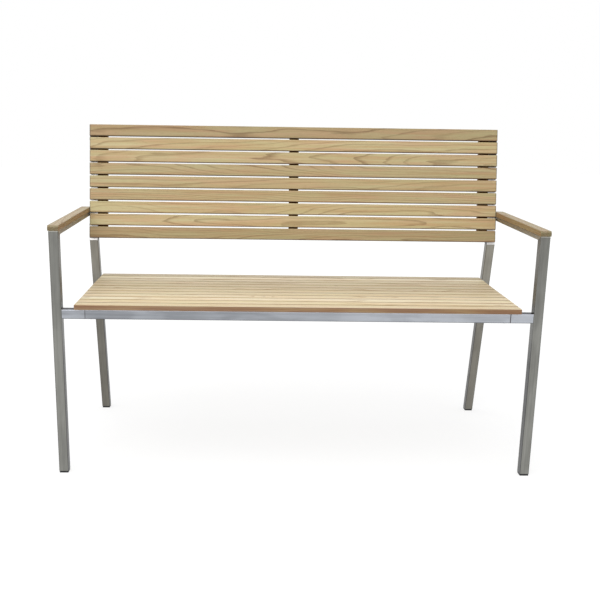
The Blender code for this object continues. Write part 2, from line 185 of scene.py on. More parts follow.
class Wiring:
    """Adds nodes to one node tree and joins them by the names of their sockets."""

    def __init__(self, tree: bpy.types.NodeTree) -> None:
        """Keep the tree that the nodes go into."""
        self.tree = tree

    @staticmethod
    def pick(sockets: Any, name: str | int) -> Socket:
        """Return the socket in use with this name, or at this place in the list."""
        named = [socket for socket in sockets if socket.name == name and socket.enabled]
        return sockets[name] if isinstance(name, int) else named[0]

    @staticmethod
    def opaque(colour: Any) -> Any:
        """Return a tint as a colour with full opacity, and a socket as it is."""
        return colour if isinstance(colour, Socket) else (*colour[:3], 1.0)

    def node(self, kind: str, feeds: dict[Any, Any] | None = None, **settings: Any) -> bpy.types.Node:
        """Add a node.

        Args:
            kind: Blender's name of the node type.
            feeds: Inputs by name or place, each a socket to link or a plain value.
            settings: Properties of the node, set before the inputs.

        Returns:
            The new node.
        """
        made = self.tree.nodes.new(kind)
        for key, value in settings.items():
            setattr(made, key, value)
        for name, value in (feeds or {}).items():
            target = self.pick(made.inputs, name)
            if isinstance(value, Socket):
                self.tree.links.new(value, target)
            else:
                target.default_value = value
        return made

    def math(self, operation: str, *values: Any) -> Socket:
        """Return the result of a Math node with its inputs in order."""
        return self.node("ShaderNodeMath", dict(enumerate(values)), operation=operation).outputs[0]

    def times(self, *factors: Any) -> Socket:
        """Return the product of two or more numbers."""
        return reduce(lambda product, factor: self.math("MULTIPLY", product, factor), factors)

    def plus(self, *terms: Any) -> Socket:
        """Return the sum of two or more numbers."""
        return reduce(lambda total, term: self.math("ADD", total, term), terms)

    def times_plus(self, value: Any, factor: float, extra: Any) -> Socket:
        """Return value times factor plus extra."""
        return self.math("MULTIPLY_ADD", value, factor, extra)

    def spread(self, share: Any, width: float) -> Socket:
        """Return a share from 0 to 1 as a number from minus half a width to plus half."""
        return self.times_plus(share, width, -width / 2)

    def join(self, x: Any, y: Any, z: Any) -> Socket:
        """Return a vector made from three numbers."""
        return self.node("ShaderNodeCombineXYZ", {0: x, 1: y, 2: z}).outputs[0]

    def split(self, vector: Any) -> list[Socket]:
        """Return the three numbers of a vector."""
        return list(self.node("ShaderNodeSeparateXYZ", {0: vector}).outputs)

    def vector(self, operation: str, feeds: dict[Any, Any]) -> Socket:
        """Return the vector that a Vector Math node gives."""
        return self.node("ShaderNodeVectorMath", feeds, operation=operation).outputs[0]

    def scaled(self, vector: Any, factors: tuple[float, float, float]) -> Socket:
        """Return a vector multiplied by a number on each axis."""
        return self.vector("MULTIPLY", {0: vector, 1: factors})

    def added(self, first: Any, second: Any) -> Socket:
        """Return the sum of two vectors."""
        return self.vector("ADD", {0: first, 1: second})

    def noise(self, vector: Any, detail: float = 2.0, rough: float = 0.5, swirl: float = 0.0) -> Any:
        """Return the outputs of noise that reads a vector already scaled to its own size."""
        feeds = {"Vector": vector, "Scale": 1.0, "Detail": detail, "Roughness": rough, "Distortion": swirl}
        return self.node("ShaderNodeTexNoise", feeds).outputs

    def step(self, value: Any, low: float, high: float, to_low: Any = 0.0, to_high: Any = 1.0) -> Socket:
        """Return a value mapped smoothly from one range onto another and held at its ends."""
        feeds = {"Value": value, "From Min": low, "From Max": high, "To Min": to_low, "To Max": to_high}
        return self.node("ShaderNodeMapRange", feeds, interpolation_type="SMOOTHSTEP").outputs[0]

    def blend(self, share: Any, first: Any, second: Any, way: str = "MIX") -> Socket:
        """Mix two colours.

        Args:
            share: Share of the second colour.
            first: First colour, a socket or plain numbers.
            second: Second colour.
            way: Blender's name of the blend type.

        Returns:
            The mixed colour.
        """
        feeds = {"Factor": share, "A": self.opaque(first), "B": self.opaque(second)}
        made = self.node("ShaderNodeMix", feeds, data_type="RGBA", blend_type=way)
        return self.pick(made.outputs, "Result")

    def lay_over(self, colour: Any, screen: Screen, *shares: Any) -> Socket:
        """Return a colour with a screen colour laid over it, as strongly as the product of the shares; it lays
        stains, dust and painted light and shade alike.
        """
        return self.blend(self.times(*shares), colour, from_screen(screen))

    def tinted(self, colour: Any, tint: Any) -> Socket:
        """Return a colour multiplied by a tint."""
        return self.blend(1.0, colour, tint, "MULTIPLY")

    def levelled(self, colour: Any, level: Any) -> Socket:
        """Return a colour with its brightness multiplied by a level."""
        return self.tinted(colour, self.join(level, level, level))

    def here(self) -> Socket:
        """Return the place on the bench."""
        return self.node("ShaderNodeTexCoord").outputs["Object"]

    def normal(self) -> Socket:
        """Return the direction that the face looks in."""
        return self.node("ShaderNodeNewGeometry").outputs["Normal"]


def empty_tree(owner: bpy.types.Material | bpy.types.World) -> Wiring:
    """Clear the nodes of a material or world.

    Args:
        owner: The material or world.

    Returns:
        The wiring of its empty tree.
    """
    owner.use_nodes = True
    owner.node_tree.nodes.clear()
    return Wiring(owner.node_tree)


class SharedEffect:
    """A shader node group that reads a place and gives masks or values, built once."""

    def __init__(self, name: str, *numbers: str) -> None:
        """Make the group with its inputs.

        Args:
            name: Name of the group.
            numbers: Its number inputs, beside the place.
        """
        self.tree = bpy.data.node_groups.new(name, "ShaderNodeTree")
        kinds = {"Place": SocketKind.VECTOR} | dict.fromkeys(numbers, SocketKind.NUMBER)
        for key, kind in kinds.items():
            self.tree.interface.new_socket(name=key, in_out="INPUT", socket_type=kind.value)
        self.wiring = Wiring(self.tree)
        self.entry = self.wiring.node("NodeGroupInput").outputs

    def give(self, results: dict[str, Socket]) -> None:
        """End the group in one number output for each result.

        Args:
            results: Names of the outputs with what they give.
        """
        for key in results:
            self.tree.interface.new_socket(name=key, in_out="OUTPUT", socket_type=SocketKind.NUMBER.value)
        self.wiring.node("NodeGroupOutput", results)

    def use(self, wiring: Wiring, feeds: dict[str, Any]) -> Any:
        """Put the group into a material and return its outputs."""
        return wiring.node("ShaderNodeGroup", feeds, node_tree=self.tree).outputs


class WoodFigure(SharedEffect):
    """Growth rings, fibres, pores and a knot of one board cut along its grain.

    The rings are shells round a pith that wanders beside the board, so faces show long flames
    and ends show arcs. The place is in metres from the board's middle, with X along the grain.
    """

    LOT_FACTORS = (17.31, 53.77, 131.9, 311.7)
    KNOT_SPREAD = (1.05, 0.018)
    KNOT_FROM_LOT = 0.80
    KNOT_SWELL = (0.030, 0.007)
    KNOT_CORE = (0.0050, 0.0022)
    KNOT_BULGE = 0.0045
    PITH_SIDEWAYS = 0.06
    PITH_WANDER = 0.034
    PITH_BELOW = -0.003
    RING_WOBBLE = 0.0044
    RING_RISE = (0.68, 0.94)
    RING_FALL = (0.95, 1.0)
    # Each kind of grain: features per metre along and across it, and layers of detail.
    FIBRES = (9.0, 620.0, 3.0)
    STREAKS = (1.7, 105.0, 2.5)
    DRIFT = (5.0, 85.0, 2.0)
    SPECKLE = (55.0, 1500.0, 1.0)

    def __init__(self) -> None:
        """Build the group."""
        super().__init__("wood_figure", "Tone", "Ring Spacing", "Pith Depth")
        w = self.wiring
        place = self.entry["Place"]
        tone = self.entry["Tone"]
        x, y, z = w.split(place)
        lots = [w.math("FRACT", w.times(tone, factor)) for factor in self.LOT_FACTORS]
        from_knot = (
            w.math("SUBTRACT", x, w.spread(lots[2], self.KNOT_SPREAD[0])),
            w.math("SUBTRACT", y, w.spread(lots[0], self.KNOT_SPREAD[1])),
        )
        has_knot = w.math("GREATER_THAN", lots[3], self.KNOT_FROM_LOT)
        swell = w.times(self.hump(from_knot, self.KNOT_SWELL), has_knot)
        radius = w.times_plus(swell, self.KNOT_BULGE, self.pith_distance(x, y, z, lots))
        count = w.math("DIVIDE", radius, self.entry["Ring Spacing"])
        phase = w.math("FRACT", count)
        number = w.times_plus(tone, 97.0, w.math("FLOOR", count))
        chance = w.node("ShaderNodeTexWhiteNoise", {"W": number}, noise_dimensions="1D").outputs["Value"]
        rise = w.step(phase, *self.RING_RISE)
        fall = w.step(phase, *self.RING_FALL, 1.0, 0.0)
        line = w.times(rise, fall, w.times_plus(chance, 0.75, 0.25))
        shift = w.scaled(w.join(tone, lots[0], lots[1]), (71.0, 33.0, 47.0))
        fibres = self.grain(place, shift, *self.FIBRES)
        pores = w.step(self.grain(place, shift, *self.SPECKLE), 0.60, 0.72)
        height = w.plus(w.times(fibres, 0.5), w.times(pores, -0.6), w.times(line, -0.3))
        self.give({
            "Rings": line,
            "Streaks": self.grain(place, shift, *self.STREAKS),
            "Fibres": fibres,
            "Pores": pores,
            "Drift": self.grain(place, shift, *self.DRIFT),
            "Knot": w.times(self.hump(from_knot, self.KNOT_CORE), has_knot),
            "Height": height,
        })

    def pith_distance(self, x: Any, y: Any, z: Any, lots: list[Any]) -> Socket:
        """Measure from the wandering pith.

        Args:
            x: Place along the grain.
            y: Place across the face.
            z: Place through the thickness.
            lots: Four numbers drawn for the board.

        Returns:
            The distance in metres, with a slight wobble.
        """
        w = self.wiring
        path = w.join(w.times(x, 1.9), w.times(lots[0], 37.0), w.times(lots[1], 11.0))
        wander = w.split(w.noise(path, 1.5)["Color"])
        pith_y = w.plus(w.spread(lots[0], self.PITH_SIDEWAYS), w.spread(wander[0], self.PITH_WANDER))
        lean = w.times(x, w.spread(lots[3], self.PITH_SIDEWAYS))
        deep = w.times(lots[1], self.entry["Pith Depth"])
        through = w.plus(z, lean, deep, w.times_plus(wander[1], self.PITH_WANDER, self.PITH_BELOW))
        across = w.math("SUBTRACT", y, pith_y)
        far = w.math("SQRT", w.plus(w.times(across, across), w.times(through, through)))
        fine = w.noise(w.join(w.times(x, 6.0), w.times(y, 60.0), z), 2.5)["Fac"]
        return w.plus(far, w.spread(fine, self.RING_WOBBLE))

    def hump(self, offsets: tuple[Any, Any], reach: tuple[float, float]) -> Socket:
        """Make a smooth oval hump.

        Args:
            offsets: Distance from the hump's middle, along and across the grain.
            reach: Half lengths of the oval in metres.

        Returns:
            The hump from 0 to 1.
        """
        w = self.wiring
        along, across = (w.math("DIVIDE", offset, size) for offset, size in zip(offsets, reach))
        far = w.plus(w.times(along, along), w.times(across, across))
        return w.math("EXPONENT", w.times(far, -1.0))

    def grain(self, place: Any, shift: Any, along: float, across: float, detail: float) -> Socket:
        """Make noise stretched along the grain.

        Args:
            place: Place on the board.
            shift: Offset that sets one board apart from the next.
            along: Features per metre along the grain.
            across: Features per metre across it.
            detail: Number of finer layers.

        Returns:
            The noise value.
        """
        w = self.wiring
        return w.noise(w.added(w.scaled(place, (along, across, across)), shift), detail, 0.55)["Fac"]


class BrushMarks(SharedEffect):
    """Fine lines of a brushed surface with soft blotches. X of the place runs along the brushing."""

    # Features per metre on each axis.
    LINES = (22.0, 2400.0, 2400.0)
    BANDS = (3.2, 330.0, 330.0)
    BLOTCHES = (9.0, 30.0, 30.0)

    def __init__(self) -> None:
        """Build the group."""
        super().__init__("brush_marks")
        w = self.wiring
        place = self.entry["Place"]
        lines = w.noise(w.scaled(place, self.LINES), 3.0, 0.6)["Fac"]
        bands = w.noise(w.scaled(place, self.BANDS))["Fac"]
        blotches = w.noise(w.scaled(place, self.BLOTCHES), 2.0, 0.5, 0.4)["Fac"]
        self.give({"Lines": lines, "Bands": bands, "Blotches": blotches})


class SurfaceSoil(SharedEffect):
    """Dust that lies on faces that look up, and faint smudges elsewhere."""

    # Features per metre on each axis.
    CLOUD = (38.0, 38.0, 38.0)
    SMEAR = (16.0, 16.0, 11.0)

    def __init__(self) -> None:
        """Build the group."""
        super().__init__("surface_soil")
        w = self.wiring
        place = self.entry["Place"]
        up = w.split(w.normal())[2]
        cloud = w.noise(w.scaled(place, self.CLOUD), 4.0, 0.6)["Fac"]
        smear = w.noise(w.scaled(place, self.SMEAR), 3.0, 0.6, 1.0)["Fac"]
        dust = w.times(w.step(up, 0.5, 1.0), w.step(cloud, 0.45, 0.75))
        self.give({"Dust": dust, "Smudge": w.step(smear, 0.50, 0.72)})


@dataclass(frozen=True)
class Effects:
    """The shader groups that the finishes share."""

    wood: WoodFigure
    brush: BrushMarks
    soil: SurfaceSoil


class GrainRun(Enum):
    """Turn that brings a member's length onto X, for members along each axis."""

    ALONG_X = (0.0, 0.0, 0.0)
    ALONG_Y = (0.0, 0.0, -math.pi / 2)
    ALONG_Z = (0.0, math.pi / 2, 0.0)


@dataclass
class Look:
    """What a finish feeds into its surface shader."""

    colour: Any
    roughness: Any
    height: Any
    bump: float
    bump_depth: float = 0.0001
    metallic: float = 0.0
    specular: float = 0.5


@dataclass(frozen=True)
class Finish:
    """A material whose colour, roughness and relief come from its own nodes."""

    name: str

    def look(self, w: Wiring, here: Any, effects: Effects) -> Look:
        """Work out the look, which each finish does in its own way."""
        raise NotImplementedError

    def material(self, effects: Effects) -> bpy.types.Material:
        """Build the material.

        Args:
            effects: The shared shader groups.

        Returns:
            The material.
        """
        material = bpy.data.materials.new(self.name)
        w = empty_tree(material)
        look = self.look(w, w.here(), effects)
        relief = {"Strength": look.bump, "Distance": look.bump_depth, "Height": look.height}
        shader = w.node("ShaderNodeBsdfPrincipled", {
            "Base Color": look.colour,
            "Metallic": look.metallic,
            "Roughness": look.roughness,
            "Specular IOR Level": look.specular,
            "Normal": w.node("ShaderNodeBump", relief).outputs[0],
        })
        w.node("ShaderNodeOutputMaterial", {"Surface": shader.outputs[0]})
        return material


@dataclass(frozen=True)
class MemberFinish(Finish):
    """A finish with a grain that runs along its member."""

    run: GrainRun
    lean: float

    def along(self, w: Wiring, source: Any) -> Socket:
        """Return a place or direction turned so that X runs along the member, stood upright."""
        turn = (self.lean, self.run.value[1], self.run.value[2])
        return w.node("ShaderNodeMapping", {"Vector": source, "Rotation": turn}).outputs[0]


@dataclass(frozen=True)
class BoardFinish(MemberFinish):
    """Wood on boards that carry their own middle and tone as attributes.

    Narrow faces get narrow_grain_and_shade, their side grain's colour with painted shade, where another board
    stands close, and an open tint, side grain with lighter painted shade, before open_before and after
    open_after; upper_highlight_tint, where given, paints a highlight on the upper narrow faces and their rims.
    The rim and tip pairs say how far from a board's edge or end the painted shade starts and is full. The
    brightness goes from low_level up by level_span with the board's tone, and changes by fade, a painted shade,
    for each metre behind rear_shade_from.
    """

    pale: Screen
    warm: Screen
    line: Screen
    green: Screen
    pink: Screen
    half_width: float
    # Tints of painted shade on narrow faces, rims and tips, partly the grain's own colour; the upper tints
    # paint a highlight.
    narrow_grain_and_shade: Tint
    half_length: float = BEYOND
    end_tint: Tint = (0.42, 0.38, 0.36)
    rim_shade_tint: Tint = (0.44, 0.41, 0.42)
    tip_shade_tint: Tint = (0.40, 0.44, 0.56)
    upper_highlight_tint: Tint | None = None
    upper_rim_highlight: Tint = (0.92, 0.95, 1.05)
    open_before: float = -BEYOND
    open_after: float = BEYOND
    open_grain_and_shade: Tint = (0.46, 0.32, 0.27)
    open_grain_and_shade_pale: Tint = (0.58, 0.43, 0.36)
    low_level: float = 0.86
    level_span: float = 0.32
    rear_shade: float = 0.0
    rear_shade_from: float = 0.0
    ring_spacing: float = 0.0050
    pith_depth: float = 0.075
    roughness: float = 0.52
    streak_depth: float = 1.0
    fibre_depth: float = 0.26
    rim: tuple[float, float] = (0.0040, 0.0002)
    tip: tuple[float, float] = (0.0045, 0.0005)
    blur: float = 0.001
    green_share: float = 0.50
    pink_share: float = 0.55
    ring_share: float = 0.70
    pore_share: float = 0.26
    knot_share: float = 0.80
    dust_share: float = 0.08
    knot: Screen = (96, 66, 38)
    dust: Screen = (196, 190, 176)

    def look(self, w: Wiring, here: Any, effects: Effects) -> Look:
        """Work out the look of the boards.

        Args:
            w: Wiring of the material.
            here: Place on the bench.
            effects: The shared shader groups.

        Returns:
            The look.
        """
        centre = w.node("ShaderNodeAttribute", attribute_name=BOARD_CENTRE).outputs["Vector"]
        tone = w.node("ShaderNodeAttribute", attribute_name=BOARD_TONE).outputs["Fac"]
        place = self.along(w, w.vector("SUBTRACT", {0: here, 1: centre}))
        feeds = {"Tone": tone, "Ring Spacing": self.ring_spacing, "Pith Depth": self.pith_depth}
        wood = effects.wood.use(w, {"Place": place, **feeds})
        soil = effects.soil.use(w, {"Place": here})
        level = w.plus(
            w.times_plus(tone, self.level_span, self.low_level),
            # Painted shade: the level changes with each board's place from front to rear.
            w.times_plus(w.split(centre)[1], self.rear_shade, -self.rear_shade * self.rear_shade_from),
            w.spread(wood["Fibres"], self.fibre_depth * self.streak_depth),
        )
        colour = w.levelled(self.figure(w, wood, tone), level)
        colour = w.tinted(colour, self.edge_colour(w, here, place, wood["Drift"]))
        colour = w.lay_over(colour, self.dust, soil["Dust"], self.dust_share)
        rough = w.plus(w.times_plus(wood["Rings"], 0.12, self.roughness), w.times(wood["Pores"], 0.15))
        return Look(colour, rough, wood["Height"], 0.35, 0.0003, specular=0.35)

    def figure(self, w: Wiring, wood: Any, tone: Any) -> Socket:
        """Colour the streaks, hue patches, rings, pores and knot of a board.

        Args:
            w: Wiring of the material.
            wood: Outputs of the wood figure.
            tone: The board's own tone, from dark and warm to bright and pale.

        Returns:
            The colour before its brightness is set.
        """
        low, high = 0.5 - self.streak_depth / 2, 0.5 + self.streak_depth / 2
        drift = wood["Drift"]
        colour = w.lay_over(from_screen(self.pale), self.warm, w.step(wood["Streaks"], 0.32, 0.68, low, high))
        colour = w.lay_over(colour, self.warm, w.times_plus(tone, -0.50, 0.50))
        colour = w.lay_over(colour, self.green, w.step(drift, 0.50, 0.66, 0.0, self.green_share))
        colour = w.lay_over(colour, self.pink, w.step(drift, 0.50, 0.34, 0.0, self.pink_share))
        colour = w.lay_over(colour, self.line, wood["Rings"], self.ring_share)
        colour = w.lay_over(colour, self.line, wood["Pores"], self.pore_share)
        return w.lay_over(colour, self.knot, wood["Knot"], self.knot_share)

    def edge_colour(self, w: Wiring, here: Any, place: Any, drift: Any) -> Socket:
        """Tint the narrow faces, ends and rims, where the cut crosses the rings, with painted shade on the
        narrow faces, rims and tips and a painted highlight on upper narrow faces.

        Args:
            w: Wiring of the material.
            here: Place on the bench.
            place: Place on the board, with X along the grain.
            drift: Slow change of hue along the board.

        Returns:
            The tint, white in the middle of the broad faces.
        """
        y = w.split(here)[1]
        far, reach, _ = w.split(place)
        along, across, _ = (w.math("ABSOLUTE", part) for part in w.split(self.along(w, w.normal())))
        behind_front = w.step(y, self.open_before, self.open_before + self.blur)
        before_rear = w.step(y, self.open_after, self.open_after - self.blur)
        # Painted shade on the narrow faces, over the side grain's own colour: darker where another board stands
        # close, lighter on open faces.
        open_face_shading = w.blend(w.step(drift, 0.36, 0.62), self.open_grain_and_shade, self.open_grain_and_shade_pale)
        narrow = w.blend(w.times(behind_front, before_rear), open_face_shading, self.narrow_grain_and_shade)
        rim_shading = self.rim_shade_tint
        # Painted highlight on the upper narrow faces and their rims.
        if self.upper_highlight_tint:
            upper = w.step(reach, -self.blur, self.blur)
            narrow = w.blend(upper, narrow, self.upper_highlight_tint)
            rim_shading = w.blend(upper, rim_shading, self.upper_rim_highlight)
        side = w.step(across, 0.25, 0.90)
        end = w.step(along, 0.15, 0.80)
        tint = w.blend(end, w.blend(side, WHITE, narrow), self.end_tint)
        # Painted shade along the rims of the broad faces and at the board tips.
        rim = w.step(w.math("ABSOLUTE", reach), *(self.half_width - inset for inset in self.rim))
        broad = w.math("SUBTRACT", 1.0, w.math("MAXIMUM", side, end))
        tint = w.blend(w.times(rim, broad), tint, rim_shading)
        tip = w.step(w.math("ABSOLUTE", far), *(self.half_length - inset for inset in self.tip))
        return w.blend(tip, tint, self.tip_shade_tint)


@dataclass(frozen=True)
class HardwoodFinish(MemberFinish):
    """Dark hardwood of the battens, read straight from the object's coordinates."""

    body: Screen
    light: Screen
    tone: float = 0.37
    ring_spacing: float = 0.003
    pith_depth: float = 0.4
    line: Screen = (30, 17, 8)
    dust: Screen = (120, 104, 86)

    def look(self, w: Wiring, here: Any, effects: Effects) -> Look:
        """Work out the look of the battens.

        Args:
            w: Wiring of the material.
            here: Place on the bench.
            effects: The shared shader groups.

        Returns:
            The look.
        """
        feeds = {"Tone": self.tone, "Ring Spacing": self.ring_spacing, "Pith Depth": self.pith_depth}
        wood = effects.wood.use(w, {"Place": self.along(w, here), **feeds})
        soil = effects.soil.use(w, {"Place": here})
        colour = w.lay_over(from_screen(self.body), self.light, w.step(wood["Streaks"], 0.3, 0.75))
        colour = w.lay_over(colour, self.line, wood["Rings"], 0.5)
        colour = w.lay_over(colour, self.dust, soil["Dust"], 0.2)
        rough = w.times_plus(wood["Fibres"], 0.2, 0.5)
        return Look(colour, rough, wood["Height"], 0.4, 0.0003, specular=0.06)


@dataclass(frozen=True)
class BrushedFinish(MemberFinish):
    """Brushed stainless steel with the brushing along the tube.

    The brightness goes from low_shade below shade_height to high_shade above it, and low_sideways
    shifts it across the bench, all painted light and shade. right_light_gain paints light towards the right
    end, seam_x places the joint lines, and a painted highlight runs along the tube above top_highlight_from.
    """

    dark: Screen
    bright: Screen
    roughness: float = 0.40
    blotch: float = 0.35
    top_reflection_share: float = 0.0
    # corner sets how strong the painted highlight on corners that look up is.
    corner: float = 0.75
    right_light_gain: float = 0.0
    side_shade_share: float = 0.0
    side_shade_above: float = 1.0
    edge_shade_line: float = 0.0
    under_shade_line: float = 0.0
    low_shade: float = 1.0
    low_sideways: float = 0.0
    high_shade: float = 1.0
    shade_height: float = 0.45
    shade_blur: float = 0.1
    seam_x: float = 0.0
    seam_line: tuple[float, float] = (0.0017, 0.0005)
    top_highlight_from: float = BEYOND
    top_highlight_blur: float = 0.0008
    top_highlight_share: float = 0.70
    smudge_share: float = 0.10
    top_highlight_colour: Screen = (192, 190, 181)
    side_shade_colour: Screen = (66, 67, 72)
    edge_shade_colour: Screen = (40, 40, 46)
    corner_highlight_colour: Screen = (232, 233, 244)
    dark_top_reflection: Screen = (24, 25, 40)
    grime: Screen = (58, 44, 40)

    def look(self, w: Wiring, here: Any, effects: Effects) -> Look:
        """Work out the look of the tube.

        Args:
            w: Wiring of the material.
            here: Place on the bench.
            effects: The shared shader groups.

        Returns:
            The look.
        """
        x, _, height = w.split(here)
        marks = effects.brush.use(w, {"Place": self.along(w, here)})
        soil = effects.soil.use(w, {"Place": here})
        tone = w.plus(
            w.times(w.step(marks["Lines"], 0.3, 0.7), 0.35),
            w.times(w.step(marks["Bands"], 0.3, 0.7), 0.65 - self.blotch),
            w.times(w.step(marks["Blotches"], 0.34, 0.66), self.blotch),
        )
        # Painted light: brighter towards the right end and on the left stubs beyond their seam.
        if self.right_light_gain:
            inner = w.step(x, 0.02, 0.22, -0.4 * self.right_light_gain, 0.6 * self.right_light_gain)
            outer = w.step(x, -self.seam_x, -self.seam_x - 0.002, 0.0, 0.4 * self.right_light_gain)
            tone = w.plus(tone, inner, outer)
        colour = w.blend(tone, from_screen(self.dark), from_screen(self.bright))
        colour = w.lay_over(colour, self.dark, soil["Smudge"], self.smudge_share)
        # Painted light and shade by height: one level below shade_height, changing across the bench, and
        # another above it.
        low_level = w.times_plus(x, self.low_shade * self.low_sideways, self.low_shade)
        low, high = self.shade_height - self.shade_blur, self.shade_height + self.shade_blur
        level = w.step(height, low, high, low_level, self.high_shade)
        colour = self.finish_faces(w, w.levelled(colour, level), w.normal(), here)
        # Painted highlight along the top edge of the tube, above top_highlight_from.
        full = self.top_highlight_from + self.top_highlight_blur
        top_highlight_mask = w.step(height, self.top_highlight_from, full, 0.0, self.top_highlight_share)
        colour = w.lay_over(colour, self.top_highlight_colour, top_highlight_mask)
        if self.seam_x:
            colour = self.draw_seam(w, colour, x)
        rough = w.plus(w.spread(marks["Lines"], 0.18), w.times_plus(soil["Smudge"], 0.08, self.roughness))
        return Look(colour, rough, marks["Lines"], 0.25, 0.00006, metallic=1.0)

    def finish_faces(self, w: Wiring, colour: Any, normal: Any, here: Any) -> Socket:
        """Paint highlights on corners that look up, painted shade on the sides, and a painted dark reflection
        on flat tops seen at a low angle.

        Args:
            w: Wiring of the material.
            colour: Colour of the brushed faces.
            normal: Direction that the face looks in.
            here: Place on the bench.

        Returns:
            The colour with its faces told apart.
        """
        across, _, up = w.split(normal)
        here_x, _, height = w.split(here)
        sideways = w.math("ABSOLUTE", across)
        # Painted shade on the side faces, scaled by side_shade_above above the seat, with dark painted shade
        # lines at their edges and on faces that look down.
        side = w.times(w.step(sideways, 0.12, 0.42), w.step(height, 0.30, 0.44, 1.0, self.side_shade_above))
        colour = w.lay_over(colour, self.side_shade_colour, side, self.side_shade_share)
        edge = w.times(side, w.step(sideways, 0.98, 0.85), self.edge_shade_line)
        edge = w.math("MAXIMUM", edge, w.step(up, -0.08, -0.35, 0.0, self.under_shade_line))
        colour = w.lay_over(colour, self.edge_shade_colour, edge)
        # Painted highlight on corners that look up, stronger towards the right end.
        turned_up = w.times(w.step(up, 0.05, 0.20), w.step(up, 0.60, 0.42))
        lit = w.times_plus(here_x, self.right_light_gain, 1.0)
        colour = w.lay_over(colour, self.corner_highlight_colour, turned_up, lit, self.corner)
        if not self.top_reflection_share:
            return colour
        # Painted dark reflection on flat tops seen at a low angle.
        grazing = w.node("ShaderNodeLayerWeight", {"Blend": 0.5}).outputs["Facing"]
        reflection_darkness = w.step(grazing, 0.45, 0.70, 0.25, self.top_reflection_share)
        return w.lay_over(colour, self.dark_top_reflection, w.step(up, 0.42, 0.66), reflection_darkness)

    def draw_seam(self, w: Wiring, colour: Any, x: Any) -> Socket:
        """Draw a thin line of grime where the rail meets the stubs, stronger on the right.

        Args:
            w: Wiring of the material.
            colour: Colour of the steel.
            x: Place across the bench.

        Returns:
            The colour with the lines.
        """
        away = w.math("ABSOLUTE", w.math("SUBTRACT", w.math("ABSOLUTE", x), self.seam_x))
        return w.lay_over(colour, self.grime, w.step(away, *self.seam_line), w.step(x, -0.1, 0.1, 0.50, 0.95))


@dataclass(frozen=True)
class PostFinish(BrushedFinish):
    """Brushed steel of the back posts, with a painted reflection that brightens the front face and painted
    shade from the slats on it near its top.
    """

    post_shade_height: float = 0.82
    post_shade_reach: tuple[float, float] = (-0.05, 0.03)
    # The front colour is a painted reflection; the next colour is painted shade cast by the slats.
    front: Screen = (232, 230, 228)
    post_shade_colour: Screen = (50, 33, 14)

    def finish_faces(self, w: Wiring, colour: Any, normal: Any, here: Any) -> Socket:
        """Paint a bright reflection on the front face, and painted shade from the slats on it near the top.

        Args:
            w: Wiring of the material.
            colour: Colour of the brushed faces.
            normal: Direction that the face looks in.
            here: Place on the bench.

        Returns:
            The colour with its faces told apart.
        """
        colour = super().finish_faces(w, colour, normal, here)
        forward = w.split(self.along(w, normal))[1]
        post_shaded = w.step(w.split(here)[2], *(self.post_shade_height + reach for reach in self.post_shade_reach))
        front = w.lay_over(from_screen(self.front), self.post_shade_colour, post_shaded)
        return w.blend(w.step(forward, -0.80, -0.97, 0.0, 0.96), colour, front)


@dataclass(frozen=True)
class PlainMetalFinish(Finish):
    """Satin metal of bolts, screws, sleeves and weld beads."""

    dark: Screen
    bright: Screen
    roughness: float = 0.38
    grain: float = 420.0

    def look(self, w: Wiring, here: Any, effects: Effects) -> Look:
        """Work out the look of the metal.

        Args:
            w: Wiring of the material.
            here: Place on the bench.
            effects: The shared shader groups.

        Returns:
            The look.
        """
        mottle = w.noise(w.scaled(here, (self.grain,) * 3), 4.0, 0.6)["Fac"]
        soil = effects.soil.use(w, {"Place": here})
        colour = w.lay_over(from_screen(self.dark), self.bright, w.step(mottle, 0.3, 0.7))
        colour = w.lay_over(colour, self.dark, soil["Smudge"], 0.2)
        return Look(colour, w.times_plus(mottle, 0.2, self.roughness - 0.1), mottle, 0.2, metallic=1.0)


@dataclass(frozen=True)
class MouldedFinish(Finish):
    """Black moulded plastic with a fine spark-eroded texture and grey scuffs near the floor."""

    body: Screen
    scuff: Screen

    def look(self, w: Wiring, here: Any, effects: Effects) -> Look:
        """Work out the look of the plastic.

        Args:
            w: Wiring of the material.
            here: Place on the bench.
            effects: The shared shader groups.

        Returns:
            The look.
        """
        pebble = w.noise(w.scaled(here, (2600.0,) * 3))["Fac"]
        soil = effects.soil.use(w, {"Place": w.scaled(here, (4.0,) * 3)})
        low = w.step(w.split(here)[2], 0.0, 0.004, 0.55, 0.1)
        colour = w.lay_over(from_screen(self.body), self.scuff, soil["Smudge"], low)
        return Look(colour, w.times_plus(pebble, 0.2, 0.45), pebble, 0.4)


